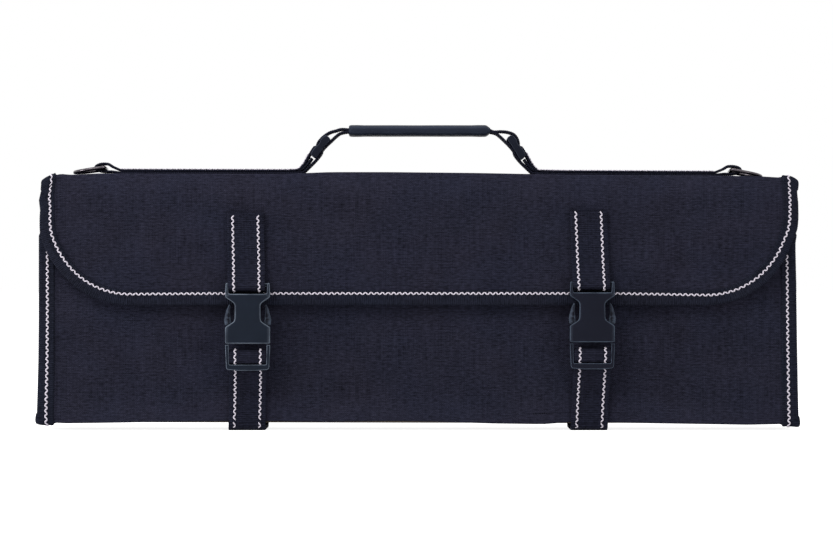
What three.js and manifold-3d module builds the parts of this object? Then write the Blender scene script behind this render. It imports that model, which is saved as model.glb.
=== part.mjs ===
// Hard-sided chef's knife case: cloth-covered boards folded round a rigid tray, a flap lid held by two
// side-release buckles, a webbing handle on top and a ring at each end for a shoulder strap.
// Millimetres. +Z is up and the front faces -Y. The origin is on the ground under the middle of the whole.
import * as THREE from "three";
import { mergeVertices } from "three/addons/utils/BufferGeometryUtils.js";
import Module from "manifold-3d";

const wasm = await Module();
wasm.setup();

// Clearances and cutting
const seat = 0.3; // left wherever one piece lies on another
const runningGap = 0.5; // left round a piece that moves
const overrun = 5; // how far a cutter runs past what it cuts
const arcSteps = 10; // straight steps in a quarter turn of an outline
const eyeSteps = 20; // straight steps round a webbing eye

// Driving sizes of the case, outside the cloth
const wrap = {
  width: 515, // over the edge tape
  depth: 70, // front panel's face to back panel's face
  height: 169, // bottom panel's face to top panel's face
  lift: 6.3, // the straps hang this far under the bottom panel
  frontHeight: 129.5, // the front panel's free edge above the bottom panel's face
  lidLength: 90, // from the top panel's face down to the lid's free edge
  lidCorner: 62, // radius of the lid's two free corners
  frontCorner: 2.5, // radius of the front panel's two free corners
  lidGap: 0.6, // between the lid's tape and the front panel's tape
};
const layer = { cover: 0.8, board: 2.4, lining: 0.8 };
const tape = { thick: 1, leg: 10.2, creaseEnd: 2 };

// What follows from them
const panelThick = layer.cover + seat + layer.board + seat + layer.lining;
const tapeProud = seat + tape.thick;
const halfWidth = wrap.width / 2 - tapeProud; // of every cloth panel
const bottomZ = wrap.lift;
const topZ = wrap.lift + wrap.height;
const frontY = -wrap.depth / 2;
const backY = wrap.depth / 2;
const lidInnerY = frontY - tapeProud * 2 - wrap.lidGap;
const lidY = lidInnerY - panelThick;
const topMidY = (lidY + backY) / 2;

// Webbing
const webbing = { width: 25.4, thick: 1.6 };
const doubled = webbing.thick * 2; // two layers sewn together

const axisX = new THREE.Vector3(1, 0, 0);
const axisY = new THREE.Vector3(0, 1, 0);
const axisZ = new THREE.Vector3(0, 0, 1);
const minus = (v) => v.clone().negate();

// Materials
const finishes = {
  cloth: { color: 0x262632, roughness: 0.9, metalness: 0 },
  lining: { color: 0x1d1d22, roughness: 0.85, metalness: 0 },
  board: { color: 0x55504a, roughness: 0.8, metalness: 0 },
  tape: { color: 0x1d1f2b, roughness: 0.85, metalness: 0 },
  webbing: { color: 0x1e202c, roughness: 0.8, metalness: 0 },
  plastic: { color: 0x23262f, roughness: 0.35, metalness: 0 },
  rubber: { color: 0x2c3240, roughness: 0.6, metalness: 0 },
  metal: { color: 0xb8b8bc, roughness: 0.2, metalness: 1 },
  elastic: { color: 0x22222a, roughness: 0.9, metalness: 0 },
};
const materials = Object.fromEntries(
  Object.entries(finishes).map(([name, look]) => [name, new THREE.MeshStandardMaterial(look)]),
);

const part = new THREE.Group();

function addMesh(parent, name, geometry, finish) {
  const mesh = new THREE.Mesh(geometry, materials[finish]);
  mesh.name = name;
  parent.add(mesh);
  return mesh;
}

// Solids: three.js geometry to manifold-3d and back
function solidOf(geometry) {
  const bare = geometry.clone();
  bare.deleteAttribute("normal");
  bare.deleteAttribute("uv");
  const merged = mergeVertices(bare);
  return new wasm.Manifold(
    new wasm.Mesh({
      numProp: 3,
      vertProperties: merged.attributes.position.array,
      triVerts: new Uint32Array(merged.index.array),
    }),
  );
}

function geometryOf(solid) {
  const mesh = solid.getMesh();
  const geometry = new THREE.BufferGeometry();
  geometry.setAttribute("position", new THREE.BufferAttribute(mesh.vertProperties, mesh.numProp));
  geometry.setIndex(new THREE.BufferAttribute(mesh.triVerts, 1));
  geometry.computeVertexNormals();
  return geometry;
}

const joined = (...geometries) =>
  geometryOf(geometries.map(solidOf).reduce((whole, piece) => whole.add(piece)));

const cutFrom = (base, ...cutters) =>
  geometryOf(cutters.map(solidOf).reduce((whole, cutter) => whole.subtract(cutter), solidOf(base)));

// Shapes
function blockBetween([x0, x1], [y0, y1], [z0, z1]) {
  const block = new THREE.BoxGeometry(x1 - x0, y1 - y0, z1 - z0);
  return block.translate((x0 + x1) / 2, (y0 + y1) / 2, (z0 + z1) / 2);
}

function shapeFrom(points) {
  return new THREE.Shape(points.map(([u, v]) => new THREE.Vector2(u, v)));
}

// A flat outline made `depth` thick, from `from` along its third axis.
function slab(points, from, depth) {
  const flat = new THREE.ExtrudeGeometry(shapeFrom(points), { depth, bevelEnabled: false });
  return flat.translate(0, 0, from);
}

// Points on an arc round (u, v), from one angle to another in degrees.
function arc(u, v, radius, from, to, steps = arcSteps) {
  const points = [];
  for (let i = 0; i <= steps; i++) {
    const angle = THREE.MathUtils.degToRad(from + ((to - from) * i) / steps);
    points.push([u + radius * Math.cos(angle), v + radius * Math.sin(angle)]);
  }
  return points;
}

function ovalPoints(u, v, halfU, halfV, steps = eyeSteps) {
  const turn = arc(0, 0, 1, 0, 360, steps).slice(1);
  return turn.map(([a, b]) => [u + a * halfU, v + b * halfV]);
}

// Frames: u and v span a profile, and its thickness runs along w.
function frame(u, v, w) {
  const group = new THREE.Group();
  group.quaternion.setFromRotationMatrix(new THREE.Matrix4().makeBasis(u, v, w));
  part.add(group);
  return group;
}

// A profile in Y and Z, made `width` wide about x.
function acrossX(points, x, width) {
  const profile = slab(points, -width / 2, width);
  const basis = new THREE.Matrix4().makeBasis(axisY, axisZ, axisX);
  return profile.applyMatrix4(basis).translate(x, 0, 0);
}

// A profile in X and Z, made `width` wide about y.
function acrossY(points, y, width) {
  const profile = slab(points, -width / 2, width);
  const basis = new THREE.Matrix4().makeBasis(axisX, axisZ, minus(axisY));
  return profile.applyMatrix4(basis).translate(0, y, 0);
}

// A panel's outline: straight at the crease (v = start), rounded at its free edge (v = length).
function panelOutline(length, corner, inset, start) {
  const half = halfWidth - inset;
  const end = length - inset;
  const radius = Math.max(corner - inset, 0);
  if (radius === 0) return [[-half, start], [half, start], [half, end], [-half, end]];
  return [
    [-half, start],
    [half, start],
    ...arc(half - radius, end - radius, radius, 0, 90),
    ...arc(-half + radius, end - radius, radius, 90, 180),
  ];
}

// Cover, board and lining of one panel. w = 0 is the lining's inner face.
function addLayers(group, name, outline) {
  addMesh(group, name + "_lining", slab(outline, 0, layer.lining), "lining");
  addMesh(group, name + "_board", slab(outline, layer.lining + seat, layer.board), "board");
  addMesh(group, name + "_cover", slab(outline, panelThick - layer.cover, layer.cover), "cloth");
}

// Clears a tape's inner leg from the panel that meets this one at the crease, up to v = `to`.
function creaseClearance(to) {
  const half = halfWidth + seat;
  return blockBetween([-half, half], [-overrun, to], [-tapeProud - overrun, seat]);
}
const neighbourEnd = panelThick + tapeProud + seat;

// Tape folded round the two sides and the free edge of a panel.
function edgeTape(length, corner) {
  const outer = panelOutline(length, corner, -tapeProud, tape.creaseEnd);
  const channel = panelOutline(length, corner, -seat, -overrun);
  const window = panelOutline(length, corner, tape.leg - tapeProud, -overrun);
  return cutFrom(
    slab(outer, -tapeProud, panelThick + tapeProud * 2),
    slab(channel, -seat, panelThick + seat * 2),
    slab(window, -tapeProud - overrun, panelThick + (tapeProud + overrun) * 2),
    creaseClearance(neighbourEnd),
  );
}

// Tape folded round one side edge of a panel that is creased at both ends. side is -1 or 1.
function sideTape(side, [v0, v1]) {
  const edge = halfWidth + tapeProud;
  const across = (near, far) => [side * near, side * far].sort((a, b) => a - b);
  const outer = blockBetween(across(edge - tape.leg, edge), [v0, v1], [-tapeProud, panelThick + tapeProud]);
  const channel = blockBetween(
    across(edge - tape.leg - overrun, halfWidth + seat),
    [v0 - overrun, v1 + overrun],
    [-seat, panelThick + seat],
  );
  return cutFrom(outer, channel);
}

const sides = [
  ["left", -1],
  ["right", 1],
];

// The tray: back, bottom and two end walls
function addBack() {
  const group = frame(minus(axisX), axisZ, axisY);
  group.position.set(0, backY - panelThick, bottomZ);
  const outline = panelOutline(wrap.height - seat, 0, 0, seat);
  addLayers(group, "back", outline);
  const span = [tape.creaseEnd, wrap.height - tape.creaseEnd];
  const topClearance = creaseClearance(neighbourEnd).translate(0, wrap.height - neighbourEnd + overrun, 0);
  for (const [name, side] of sides) {
    const whole = sideTape(-side, span);
    addMesh(group, "back_tape_" + name, cutFrom(whole, creaseClearance(neighbourEnd), topClearance), "tape");
  }
}

function addBottom() {
  const group = frame(axisX, minus(axisY), minus(axisZ));
  group.position.set(0, 0, bottomZ + panelThick);
  const reach = wrap.depth / 2 - panelThick - seat;
  const outline = [[-halfWidth, -reach], [halfWidth, -reach], [halfWidth, reach], [-halfWidth, reach]];
  addLayers(group, "bottom", outline);
  const tapeReach = reach - tapeProud;
  for (const [name, side] of sides) {
    addMesh(group, "bottom_tape_" + name, sideTape(side, [-tapeReach, tapeReach]), "tape");
  }
}

const endWallX = halfWidth + tapeProud - tape.leg - seat; // outer face, just inside the side tapes
function addEndWalls() {
  const sill = bottomZ + panelThick + tapeProud + seat;
  const head = topZ - panelThick - tapeProud - runningGap;
  const shoulder = bottomZ + wrap.frontHeight + runningGap;
  const nearY = frontY + panelThick + tapeProud + runningGap;
  const lidSideY = lidInnerY + tapeProud + runningGap; // above the front panel, where the lid closes
  const farY = backY - panelThick - seat;
  const profile = [
    [nearY, sill],
    [farY, sill],
    [farY, head],
    [lidSideY, head],
    [lidSideY, shoulder],
    [nearY, shoulder],
  ];
  for (const [name, side] of sides) {
    const group = side > 0 ? frame(axisY, axisZ, axisX) : frame(minus(axisY), axisZ, minus(axisX));
    group.position.set(side * (endWallX - panelThick), 0, 0);
    const outline = profile.map(([y, z]) => [side * y, z]);
    if (side < 0) outline.reverse();
    addLayers(group, "end_" + name, outline);
  }
}

// The top panel, which folds up at the back edge
function addTop() {
  const group = frame(axisX, axisY, axisZ);
  group.position.set(0, 0, topZ - panelThick);
  const near = lidInnerY + seat;
  const far = backY - panelThick - seat;
  addLayers(group, "top", [[-halfWidth, near], [halfWidth, near], [halfWidth, far], [-halfWidth, far]]);
  for (const [name, side] of sides) {
    const span = [near + tapeProud + seat, far - tapeProud - seat];
    addMesh(group, "top_tape_" + name, sideTape(side, span), "tape");
  }
}

// The lid, which folds up at the top panel's front edge
function addLid() {
  const group = frame(minus(axisX), minus(axisZ), minus(axisY));
  group.position.set(0, lidInnerY, topZ);
  const length = wrap.lidLength - tapeProud;
  addLayers(group, "lid", panelOutline(length, wrap.lidCorner - tapeProud, 0, seat));
  addMesh(group, "lid_tape", edgeTape(length, wrap.lidCorner - tapeProud), "tape");
}

// The front panel, which folds down at the bottom panel's front edge
function addFront() {
  const group = frame(axisX, axisZ, minus(axisY));
  group.position.set(0, frontY + panelThick, bottomZ);
  const length = wrap.frontHeight - tapeProud;
  addLayers(group, "front", panelOutline(length, wrap.frontCorner, 0, seat));
  addMesh(group, "front_tape", edgeTape(length, wrap.frontCorner), "tape");
}

// Knife holders: a sleeve for the blades and an elastic band for the handles, row over row
const knives = {
  pitch: 26,
  backRows: 5,
  frontRows: 4,
  backFloor: 12, // from the bottom panel's inner face to the sleeve's lower edge
  frontFloor: 2,
};
const sleeve = { startX: -20, length: 215, channelWidth: 19, channelHeight: 6, thick: 1 };
const band = { startX: -150, length: 30, channelWidth: 20, channelHeight: 13, thick: 1.4 };
const crownShare = 0.86; // a channel's crown is this much of its width

function channelProfile(rows, { channelWidth, channelHeight, thick }) {
  const half = channelWidth / 2;
  const crown = half * crownShare;
  const outer = [];
  const inner = [];
  for (let row = 0; row < rows; row++) {
    const mid = knives.pitch * (row + 1 / 2);
    outer.push([mid - half - thick, thick], [mid - crown - thick, channelHeight + thick]);
    outer.push([mid + crown + thick, channelHeight + thick], [mid + half + thick, thick]);
    inner.push([mid - half, 0], [mid - crown, channelHeight]);
    inner.push([mid + crown, channelHeight], [mid + half, 0]);
  }
  const end = knives.pitch * rows;
  return [[0, 0], [0, thick], ...outer, [end, thick], [end, 0], ...inner.reverse()];
}

// side is -1 on the front panel and 1 on the back. The sleeve's rows run along X.
function addHolder(name, holder, rows, floorZ, side, finish) {
  const liningY = side > 0 ? backY - panelThick - seat : frontY + panelThick + seat;
  const profile = channelProfile(rows, holder).map(([v, w]) => [liningY - side * w, floorZ + v]);
  if (side > 0) profile.reverse();
  const mid = side * (holder.startX + holder.length / 2);
  addMesh(part, name, acrossX(profile.reverse(), mid, holder.length), finish);
}

function addHolders() {
  const inner = bottomZ + panelThick;
  const backZ = inner + knives.backFloor;
  const frontZ = inner + knives.frontFloor;
  addHolder("back_blade_sleeve", sleeve, knives.backRows, backZ, 1, "lining");
  addHolder("back_handle_band", band, knives.backRows, backZ, 1, "elastic");
  addHolder("front_blade_sleeve", sleeve, knives.frontRows, frontZ, -1, "lining");
  addHolder("front_handle_band", band, knives.frontRows, frontZ, -1, "elastic");
}

// Buckles, drawn from the photograph's front view. z is the height above the ground.
const buckle = {
  offset: 116.5, // from the middle of the case
  width: 30.6,
  thick: 9.6,
  waist: 17.7,
  wall: 1.3,
  frameTop: 100.5,
  slotTop: 98,
  slotBottom: 93.2,
  neckTop: 91.4,
  waistTop: 87.7,
  waistBottom: 74.9,
  shoulder: 70.6,
  mouth: 59.4,
  post: 1.8, // of the webbing frame
  barDepth: 3, // of the bar that the webbing goes round
};
// Clear of the lid's tape, which it lies on.
const buckleY = lidY - tapeProud - runningGap - buckle.thick / 2;
const plug = {
  top: 58.4, // of the side rails, just under the socket
  bottom: 41.3,
  lowerBar: 3.7,
  lowerBarDepth: 2.6, // front to back
  taper: 0.7, // each rail leans in by this much at the bottom
  lap: 2, // how far one member runs into the next
  thick: 8,
  barMid: 50.9, // of the bar that the webbing goes round
  barHeight: 4.2,
  barDepth: 2.4,
  headTop: 62.5, // of the crossbar inside the socket's mouth
  tongueTop: 80,
  tongueWidth: 8,
  tongueThick: 3,
};
const prong = {
  thick: 5,
  root: 63, // lowest edge, just above the crossbar
  inner: 10, // inner face at the root, from the buckle's middle
  innerTop: 12, // inner face beside the waist
  arm: 12.7, // outer face inside the socket
  tabFoot: 73, // the release tab's lower edge
  tabWide: 78.4,
  tabOut: 15.5,
  tip: 86,
};

function socketOutline() {
  const half = buckle.width / 2;
  const waist = buckle.waist / 2;
  const right = [
    [half, buckle.mouth],
    [half, buckle.shoulder],
    [waist, buckle.waistBottom],
    [waist, buckle.waistTop],
    [half, buckle.neckTop],
    [half, buckle.frameTop],
  ];
  const left = right.map(([u, v]) => [-u, v]).reverse();
  return [...right, ...left];
}

function socketGeometry() {
  const half = buckle.width / 2;
  const deep = buckle.thick / 2;
  const inside = half - buckle.wall;
  const hollow = deep - buckle.wall;
  const slot = [-half + buckle.post, half - buckle.post];
  const behindBar = [buckle.barDepth / 2, deep + overrun];
  const frameBar = [buckle.slotTop - overrun, buckle.frameTop + overrun];
  return cutFrom(
    acrossY(socketOutline(), 0, buckle.thick),
    blockBetween(slot, [-deep - overrun, deep + overrun], [buckle.slotBottom, buckle.slotTop]),
    blockBetween(slot, behindBar, frameBar),
    blockBetween(slot, behindBar.map((y) => -y).reverse(), frameBar),
    blockBetween([-inside, inside], [-hollow, hollow], [buckle.mouth - overrun, buckle.shoulder]),
    prongRoom(-1),
    prongRoom(1),
    tongueRoom(),
  );
}

// The way out of the socket's shoulder for one prong, with room for it to be squeezed in.
function prongRoom(side) {
  const across = [buckle.waist / 2 + seat, prong.arm + runningGap];
  const deep = prong.thick / 2 + runningGap;
  return blockBetween(
    across.map((x) => side * x).sort((a, b) => a - b),
    [-deep, deep],
    [buckle.shoulder - overrun, buckle.waistBottom + overrun],
  );
}

// The pocket in the socket's waist that guides the plug's tongue.
function tongueRoom() {
  const half = plug.tongueWidth / 2 + runningGap;
  const deep = plug.tongueThick / 2 + runningGap;
  return blockBetween([-half, half], [-deep, deep], [buckle.mouth, plug.tongueTop + runningGap * 2]);
}

function plugGeometry() {
  const half = buckle.width / 2;
  const deep = plug.thick / 2;
  const foot = half - plug.taper;
  const inside = webbing.width / 2 + seat; // half of the webbing's window
  const outline = [[-foot, plug.bottom], [foot, plug.bottom], [half, plug.top], [-half, plug.top]];
  const rim = plug.bottom + plug.lowerBar;
  const rails = cutFrom(
    acrossY(outline, 0, plug.thick),
    blockBetween([-inside, inside], [-deep - overrun, deep + overrun], [rim, plug.top + overrun]),
    // the lower bar crosses only in front of the webbing
    blockBetween([-inside, inside], [-deep + plug.lowerBarDepth, deep + overrun], [rim - overrun, rim]),
  );
  const headHalf = half - buckle.wall - runningGap;
  const headDeep = buckle.thick / 2 - buckle.wall - runningGap;
  const tongueHalf = plug.tongueWidth / 2;
  return joined(
    rails,
    blockBetween(
      [-inside - plug.lap / 2, inside + plug.lap / 2],
      [-plug.barDepth / 2, plug.barDepth / 2],
      [plug.barMid - plug.barHeight / 2, plug.barMid + plug.barHeight / 2],
    ),
    blockBetween(
      [-headHalf, headHalf],
      [-headDeep, headDeep],
      [plug.top - plug.lap, plug.headTop],
    ),
    blockBetween(
      [-tongueHalf, tongueHalf],
      [-plug.tongueThick / 2, plug.tongueThick / 2],
      [plug.headTop - plug.lap, plug.tongueTop],
    ),
  );
}

function prongGeometry(side) {
  const outline = [
    [prong.inner, prong.root],
    [prong.arm, prong.root],
    [prong.arm, prong.tabFoot],
    [prong.tabOut, prong.tabFoot],
    [prong.tabOut, prong.tabWide],
    [prong.innerTop + seat, prong.tip],
    [prong.innerTop, prong.tip],
    [prong.innerTop, prong.tabFoot],
  ].map(([u, z]) => [side * u, z]);
  if (side < 0) outline.reverse();
  return acrossY(outline, 0, prong.thick);
}

// Straps: a sewn double layer with an eye round the buckle's bar
const upperStrap = { top: 148.2, split: 113 };
const lowerStrap = {
  foot: 5.8, // its lower end, where the part under the case takes over
  leaves: 24, // where it leaves the front panel's face
  eye: 2.7, // inner radius round the plug's bar
};
const strapBase = { bend: 7, backTop: 62 };

function eyeRing(points, midY, midZ, inner, outer, x) {
  const disc = (radius, width) => acrossX(ovalPoints(midY, midZ, radius, radius), x, width);
  return cutFrom(
    joined(acrossX(points, x, webbing.width), disc(outer, webbing.width)),
    disc(inner, webbing.width + overrun * 2),
  );
}

function upperStrapGeometry(x) {
  const barZ = (buckle.slotTop + buckle.frameTop) / 2;
  const barHalf = Math.hypot(buckle.frameTop - buckle.slotTop, buckle.barDepth) / 2;
  const inner = barHalf + seat * 2;
  const outer = inner + webbing.thick;
  const face = lidY - seat;
  const strip = [
    [face, upperStrap.top],
    [face, upperStrap.split],
    [buckleY + outer, barZ],
    [buckleY + inner, barZ],
    [buckleY + inner - doubled, barZ],
    [face - doubled, upperStrap.split],
    [face - doubled, upperStrap.top],
  ];
  const front = [
    [face - doubled, upperStrap.split],
    [buckleY - outer, barZ],
    [buckleY - inner, barZ],
    [face - webbing.thick, upperStrap.split],
  ];
  const rear = [
    [face, upperStrap.split],
    [face - webbing.thick, upperStrap.split],
    [buckleY + inner, barZ],
    [buckleY + outer, barZ],
  ];
  const sewn = [strip[0], strip[1], strip[5], strip[6]];
  const layers = joined(
    acrossX(sewn, x, webbing.width),
    acrossX(front, x, webbing.width),
    acrossX(rear, x, webbing.width),
    acrossX(ovalPoints(buckleY, barZ, outer, outer), x, webbing.width),
  );
  const eye = [
    ...arc(buckleY, barZ, inner, 180, 360, eyeSteps / 2),
    [face - webbing.thick, upperStrap.split - doubled],
  ];
  return cutFrom(layers, acrossX(eye, x, webbing.width + overrun * 2));
}

function lowerStrapGeometry(x) {
  const outer = lowerStrap.eye + webbing.thick;
  const face = frontY - seat;
  const rearAtBar = buckleY + outer;
  const strip = [
    [face, lowerStrap.foot],
    [face, lowerStrap.leaves],
    [rearAtBar, plug.barMid - lowerStrap.eye],
    [rearAtBar, plug.barMid],
    [rearAtBar - webbing.thick, plug.barMid],
    [rearAtBar - doubled, plug.barMid - outer + seat],
    [rearAtBar - doubled, plug.bottom],
    [face - doubled, lowerStrap.leaves - seat],
    [face - doubled, lowerStrap.foot],
  ];
  return eyeRing(strip, buckleY, plug.barMid, lowerStrap.eye, outer, x);
}

// The strap's run under the case and up the back, where it is sewn down.
function strapBaseGeometry(x) {
  const frontFace = frontY - seat;
  const backFace = backY + seat;
  const bend = strapBase.bend;
  const inside = bend - doubled;
  const joint = lowerStrap.foot - seat;
  const under = [
    [frontFace - doubled, joint],
    ...arc(frontFace - doubled + bend, bend, bend, 180, 270).filter(([, z]) => z < joint),
    ...arc(backFace + doubled - bend, bend, bend, 270, 360),
    [backFace + doubled, strapBase.backTop],
    [backFace, strapBase.backTop],
    ...arc(backFace - inside, bend, inside, 360, 270),
    ...arc(frontFace + inside, bend, inside, 270, 180).filter(([, z]) => z < joint),
    [frontFace, joint],
  ];
  return acrossX(under, x, webbing.width);
}

function addBuckles() {
  for (const [name, side] of sides) {
    const x = side * buckle.offset;
    const group = new THREE.Group();
    group.position.set(x, buckleY, 0);
    part.add(group);
    addMesh(group, "buckle_socket_" + name, socketGeometry(), "plastic");
    addMesh(group, "buckle_plug_" + name, plugGeometry(), "plastic");
    addMesh(group, "release_prong_" + name + "_outer", prongGeometry(side), "plastic");
    addMesh(group, "release_prong_" + name + "_inner", prongGeometry(-side), "plastic");
    addMesh(part, "upper_strap_" + name, upperStrapGeometry(x), "webbing");
    addMesh(part, "lower_strap_" + name, lowerStrapGeometry(x), "webbing");
    addMesh(part, "strap_base_" + name, strapBaseGeometry(x), "webbing");
  }
}

// Top webbing, with the fold that holds the ring
const fold = { endDistance: 42.5, halfLength: 7.2, halfHeight: 3.9 }; // from the case's end to the bar
const topWebbing = { end: 79.6 };
const ring = {
  wire: 2.6,
  sideGap: 0.6, // between the bow and each edge of the webbing
  reach: 22.4, // from the bar's middle to the outside of the bow
  straightShare: 1 / 3, // of the reach, before the bow curves
};
const foldX = wrap.width / 2 - fold.endDistance;
const foldRise = seat + fold.halfHeight; // the bar's middle above the top panel's face
const ringInside = webbing.width + ring.sideGap * 2;

function addTopWebbing() {
  const floor = topZ + seat;
  for (const [name, side] of sides) {
    const oval = (inset) =>
      ovalPoints(side * foldX, topZ + foldRise, fold.halfLength - inset, fold.halfHeight - inset);
    const strip = blockBetween(
      [side * topWebbing.end, side * foldX].sort((a, b) => a - b),
      [topMidY - webbing.width / 2, topMidY + webbing.width / 2],
      [floor, floor + doubled],
    );
    const geometry = cutFrom(
      joined(strip, acrossY(oval(0), topMidY, webbing.width)),
      acrossY(oval(webbing.thick), topMidY, webbing.width + overrun * 2),
    );
    addMesh(part, "top_webbing_" + name, geometry, "webbing");
  }
}

function bowOutline(inset) {
  const half = ringInside / 2 + ring.wire - inset;
  const straight = ring.reach * ring.straightShare;
  const near = -ring.wire / 2 + inset;
  const bow = ring.reach - straight - inset;
  const turn = arc(0, 0, 1, -90, 90, arcSteps * 2).map(([a, b]) => [straight + a * bow, b * half]);
  return [[near, -half], ...turn, [near, half]];
}

function addRings() {
  const outer = slab(bowOutline(0), -ring.wire / 2, ring.wire);
  const hole = slab(bowOutline(ring.wire), -ring.wire / 2 - overrun, ring.wire + overrun * 2);
  const geometry = cutFrom(outer, hole);
  // the bow lies down outwards until its end is just off the top panel
  const droop = Math.asin((foldRise - ring.wire / 2 - seat) / (ring.reach - ring.wire / 2));
  for (const [name, side] of sides) {
    const group = frame(side > 0 ? axisX : minus(axisX), side > 0 ? axisY : minus(axisY), axisZ);
    group.position.set(side * foldX, topMidY, topZ + foldRise);
    const mesh = addMesh(group, "shoulder_ring_" + name, geometry, "metal");
    mesh.rotation.y = droop;
  }
}

// Handle: doubled webbing through a grip, with a slider on each leg
const handle = {
  footX: 79.3, // where each leg leaves the top webbing
  gripX: 47.4, // half the grip's length
  gripZ: 29.7, // the grip's middle above the top panel's face
  gripHeight: 7.6,
  gripWidth: 29,
  gripRound: 3,
  wall: 1.2,
};
const slider = { length: 18.6, thick: 5.4, rail: 2.4, bar: 2.6, barThick: 2.2, tilt: 56 };
// Across the leg: shares of the way from its foot to the grip, and of the rise from foot to webbing.
const outerShares = [[0.03, 0.15], [0.16, 0.37], [0.26, 0.57], [0.37, 0.77], [0.56, 0.93], [0.8, 1]];
const innerShares = [[0.14, 0.04], [0.46, 0.52], [0.66, 0.84], [0.83, 1]];
const sliderShare = [0.4, 0.57];

const legRun = handle.footX - handle.gripX;
const strandZ = topZ + handle.gripZ; // the middle of the webbing inside the grip

function legPoint([across, up], side, offset) {
  const foot = topZ + seat + doubled / 2;
  const rise = strandZ - foot;
  return [side * (handle.footX - across * legRun), foot + up * rise + offset];
}

function handleWebbingGeometry() {
  const half = doubled / 2;
  const contour = (shares, side, offset) => shares.map((share) => legPoint(share, side, offset));
  const foot = (side, offset) => [side * handle.footX, topZ + seat + half + offset];
  const outline = [
    foot(-1, -half),
    ...contour(innerShares, -1, -half),
    ...contour(innerShares, 1, -half).reverse(),
    foot(1, -half),
    foot(1, half),
    ...contour(outerShares, 1, half),
    ...contour(outerShares, -1, half).reverse(),
    foot(-1, half),
  ];
  const room = (side) => {
    const length = slider.length / 2 - webbing.thick + runningGap;
    const deep = slider.barThick / 2 + seat;
    const cutter = blockBetween([-length, length], [-webbing.width, webbing.width], [-deep, deep]);
    cutter.rotateY(THREE.MathUtils.degToRad(side * slider.tilt));
    const [x, z] = legPoint(sliderShare, side, 0);
    return cutter.translate(x, topMidY, z);
  };
  return cutFrom(acrossY(outline, topMidY, webbing.width), room(-1), room(1));
}

function gripGeometry() {
  const rounded = (width, height, radius) => {
    const u = width / 2 - radius;
    const v = height / 2 - radius;
    return [
      ...arc(u, v, radius, 0, 90, arcSteps / 2),
      ...arc(-u, v, radius, 90, 180, arcSteps / 2),
      ...arc(-u, -v, radius, 180, 270, arcSteps / 2),
      ...arc(u, -v, radius, 270, 360, arcSteps / 2),
    ];
  };
  const bore = { width: webbing.width + seat * 2, height: doubled + seat * 2 };
  const length = handle.gripX * 2;
  const outer = acrossX(rounded(handle.gripWidth, handle.gripHeight, handle.gripRound), 0, length);
  const inner = acrossX(rounded(bore.width, bore.height, handle.wall / 2), 0, length + overrun * 2);
  return cutFrom(outer, inner).translate(0, topMidY, strandZ);
}

function sliderGeometry() {
  const inside = webbing.width / 2 + runningGap;
  const railOutline = [
    ...arc(slider.length / 2 - slider.thick / 2, 0, slider.thick / 2, -90, 90, arcSteps),
    ...arc(-slider.length / 2 + slider.thick / 2, 0, slider.thick / 2, 90, 270, arcSteps),
  ];
  const rail = (side) => acrossY(railOutline, side * (inside + slider.rail / 2), slider.rail);
  const reach = slider.length / 2 - webbing.thick - slider.bar / 2;
  const bar = (x) =>
    blockBetween(
      [x - slider.bar / 2, x + slider.bar / 2],
      [-inside - slider.rail / 2, inside + slider.rail / 2],
      [-slider.barThick / 2, slider.barThick / 2],
    );
  return joined(rail(-1), rail(1), bar(-reach), bar(0), bar(reach));
}

function addHandle() {
  addMesh(part, "handle_webbing", handleWebbingGeometry(), "webbing");
  addMesh(part, "handle_grip", gripGeometry(), "rubber");
  for (const [name, side] of sides) {
    const mesh = addMesh(part, "handle_slider_" + name, sliderGeometry(), "plastic");
    const [x, z] = legPoint(sliderShare, side, 0);
    mesh.position.set(x, topMidY, z);
    mesh.rotation.y = THREE.MathUtils.degToRad(side * slider.tilt);
  }
}

// The origin is under the middle of everything, from the buckles' fronts to the straps' backs.
const nearest = buckleY - buckle.thick / 2;
const farthest = backY + seat + doubled;
part.position.y = -(nearest + farthest) / 2;

addBack();
addBottom();
addEndWalls();
addTop();
addLid();
addFront();
addHolders();
addBuckles();
addTopWebbing();
addRings();
addHandle();

export default part;
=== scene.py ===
import bmesh
import bpy
import numpy as np
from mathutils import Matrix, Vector
from mathutils.geometry import tessellate_polygon


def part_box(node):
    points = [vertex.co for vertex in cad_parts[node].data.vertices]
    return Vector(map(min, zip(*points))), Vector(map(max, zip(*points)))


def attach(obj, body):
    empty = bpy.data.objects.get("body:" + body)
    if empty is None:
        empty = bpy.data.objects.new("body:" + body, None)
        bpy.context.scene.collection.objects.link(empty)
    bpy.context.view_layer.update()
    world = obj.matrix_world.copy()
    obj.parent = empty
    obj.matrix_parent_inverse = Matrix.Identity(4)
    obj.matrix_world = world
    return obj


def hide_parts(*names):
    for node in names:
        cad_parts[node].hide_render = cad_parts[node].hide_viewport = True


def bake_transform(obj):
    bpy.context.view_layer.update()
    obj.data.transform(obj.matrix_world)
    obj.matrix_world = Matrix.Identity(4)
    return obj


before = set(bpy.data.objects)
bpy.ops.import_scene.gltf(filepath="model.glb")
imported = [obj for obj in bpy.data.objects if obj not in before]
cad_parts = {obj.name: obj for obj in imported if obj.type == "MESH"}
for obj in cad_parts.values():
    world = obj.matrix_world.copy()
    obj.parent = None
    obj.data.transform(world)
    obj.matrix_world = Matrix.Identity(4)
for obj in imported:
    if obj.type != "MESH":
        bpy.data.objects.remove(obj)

# A hard knife case: cloth-covered boards, ribbed edge tape with zigzag stitching, webbing straps in
# side-release buckles. Shapes are worked out in millimetres, and each mesh is stored in metres.
MM = 0.001
X, Y, Z = np.eye(3)
SIDES = (("left", -1), ("right", 1))
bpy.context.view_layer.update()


def low(node_name):
    return np.array(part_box(node_name)[0]) / MM


def high(node_name):
    return np.array(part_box(node_name)[1]) / MM


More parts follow.
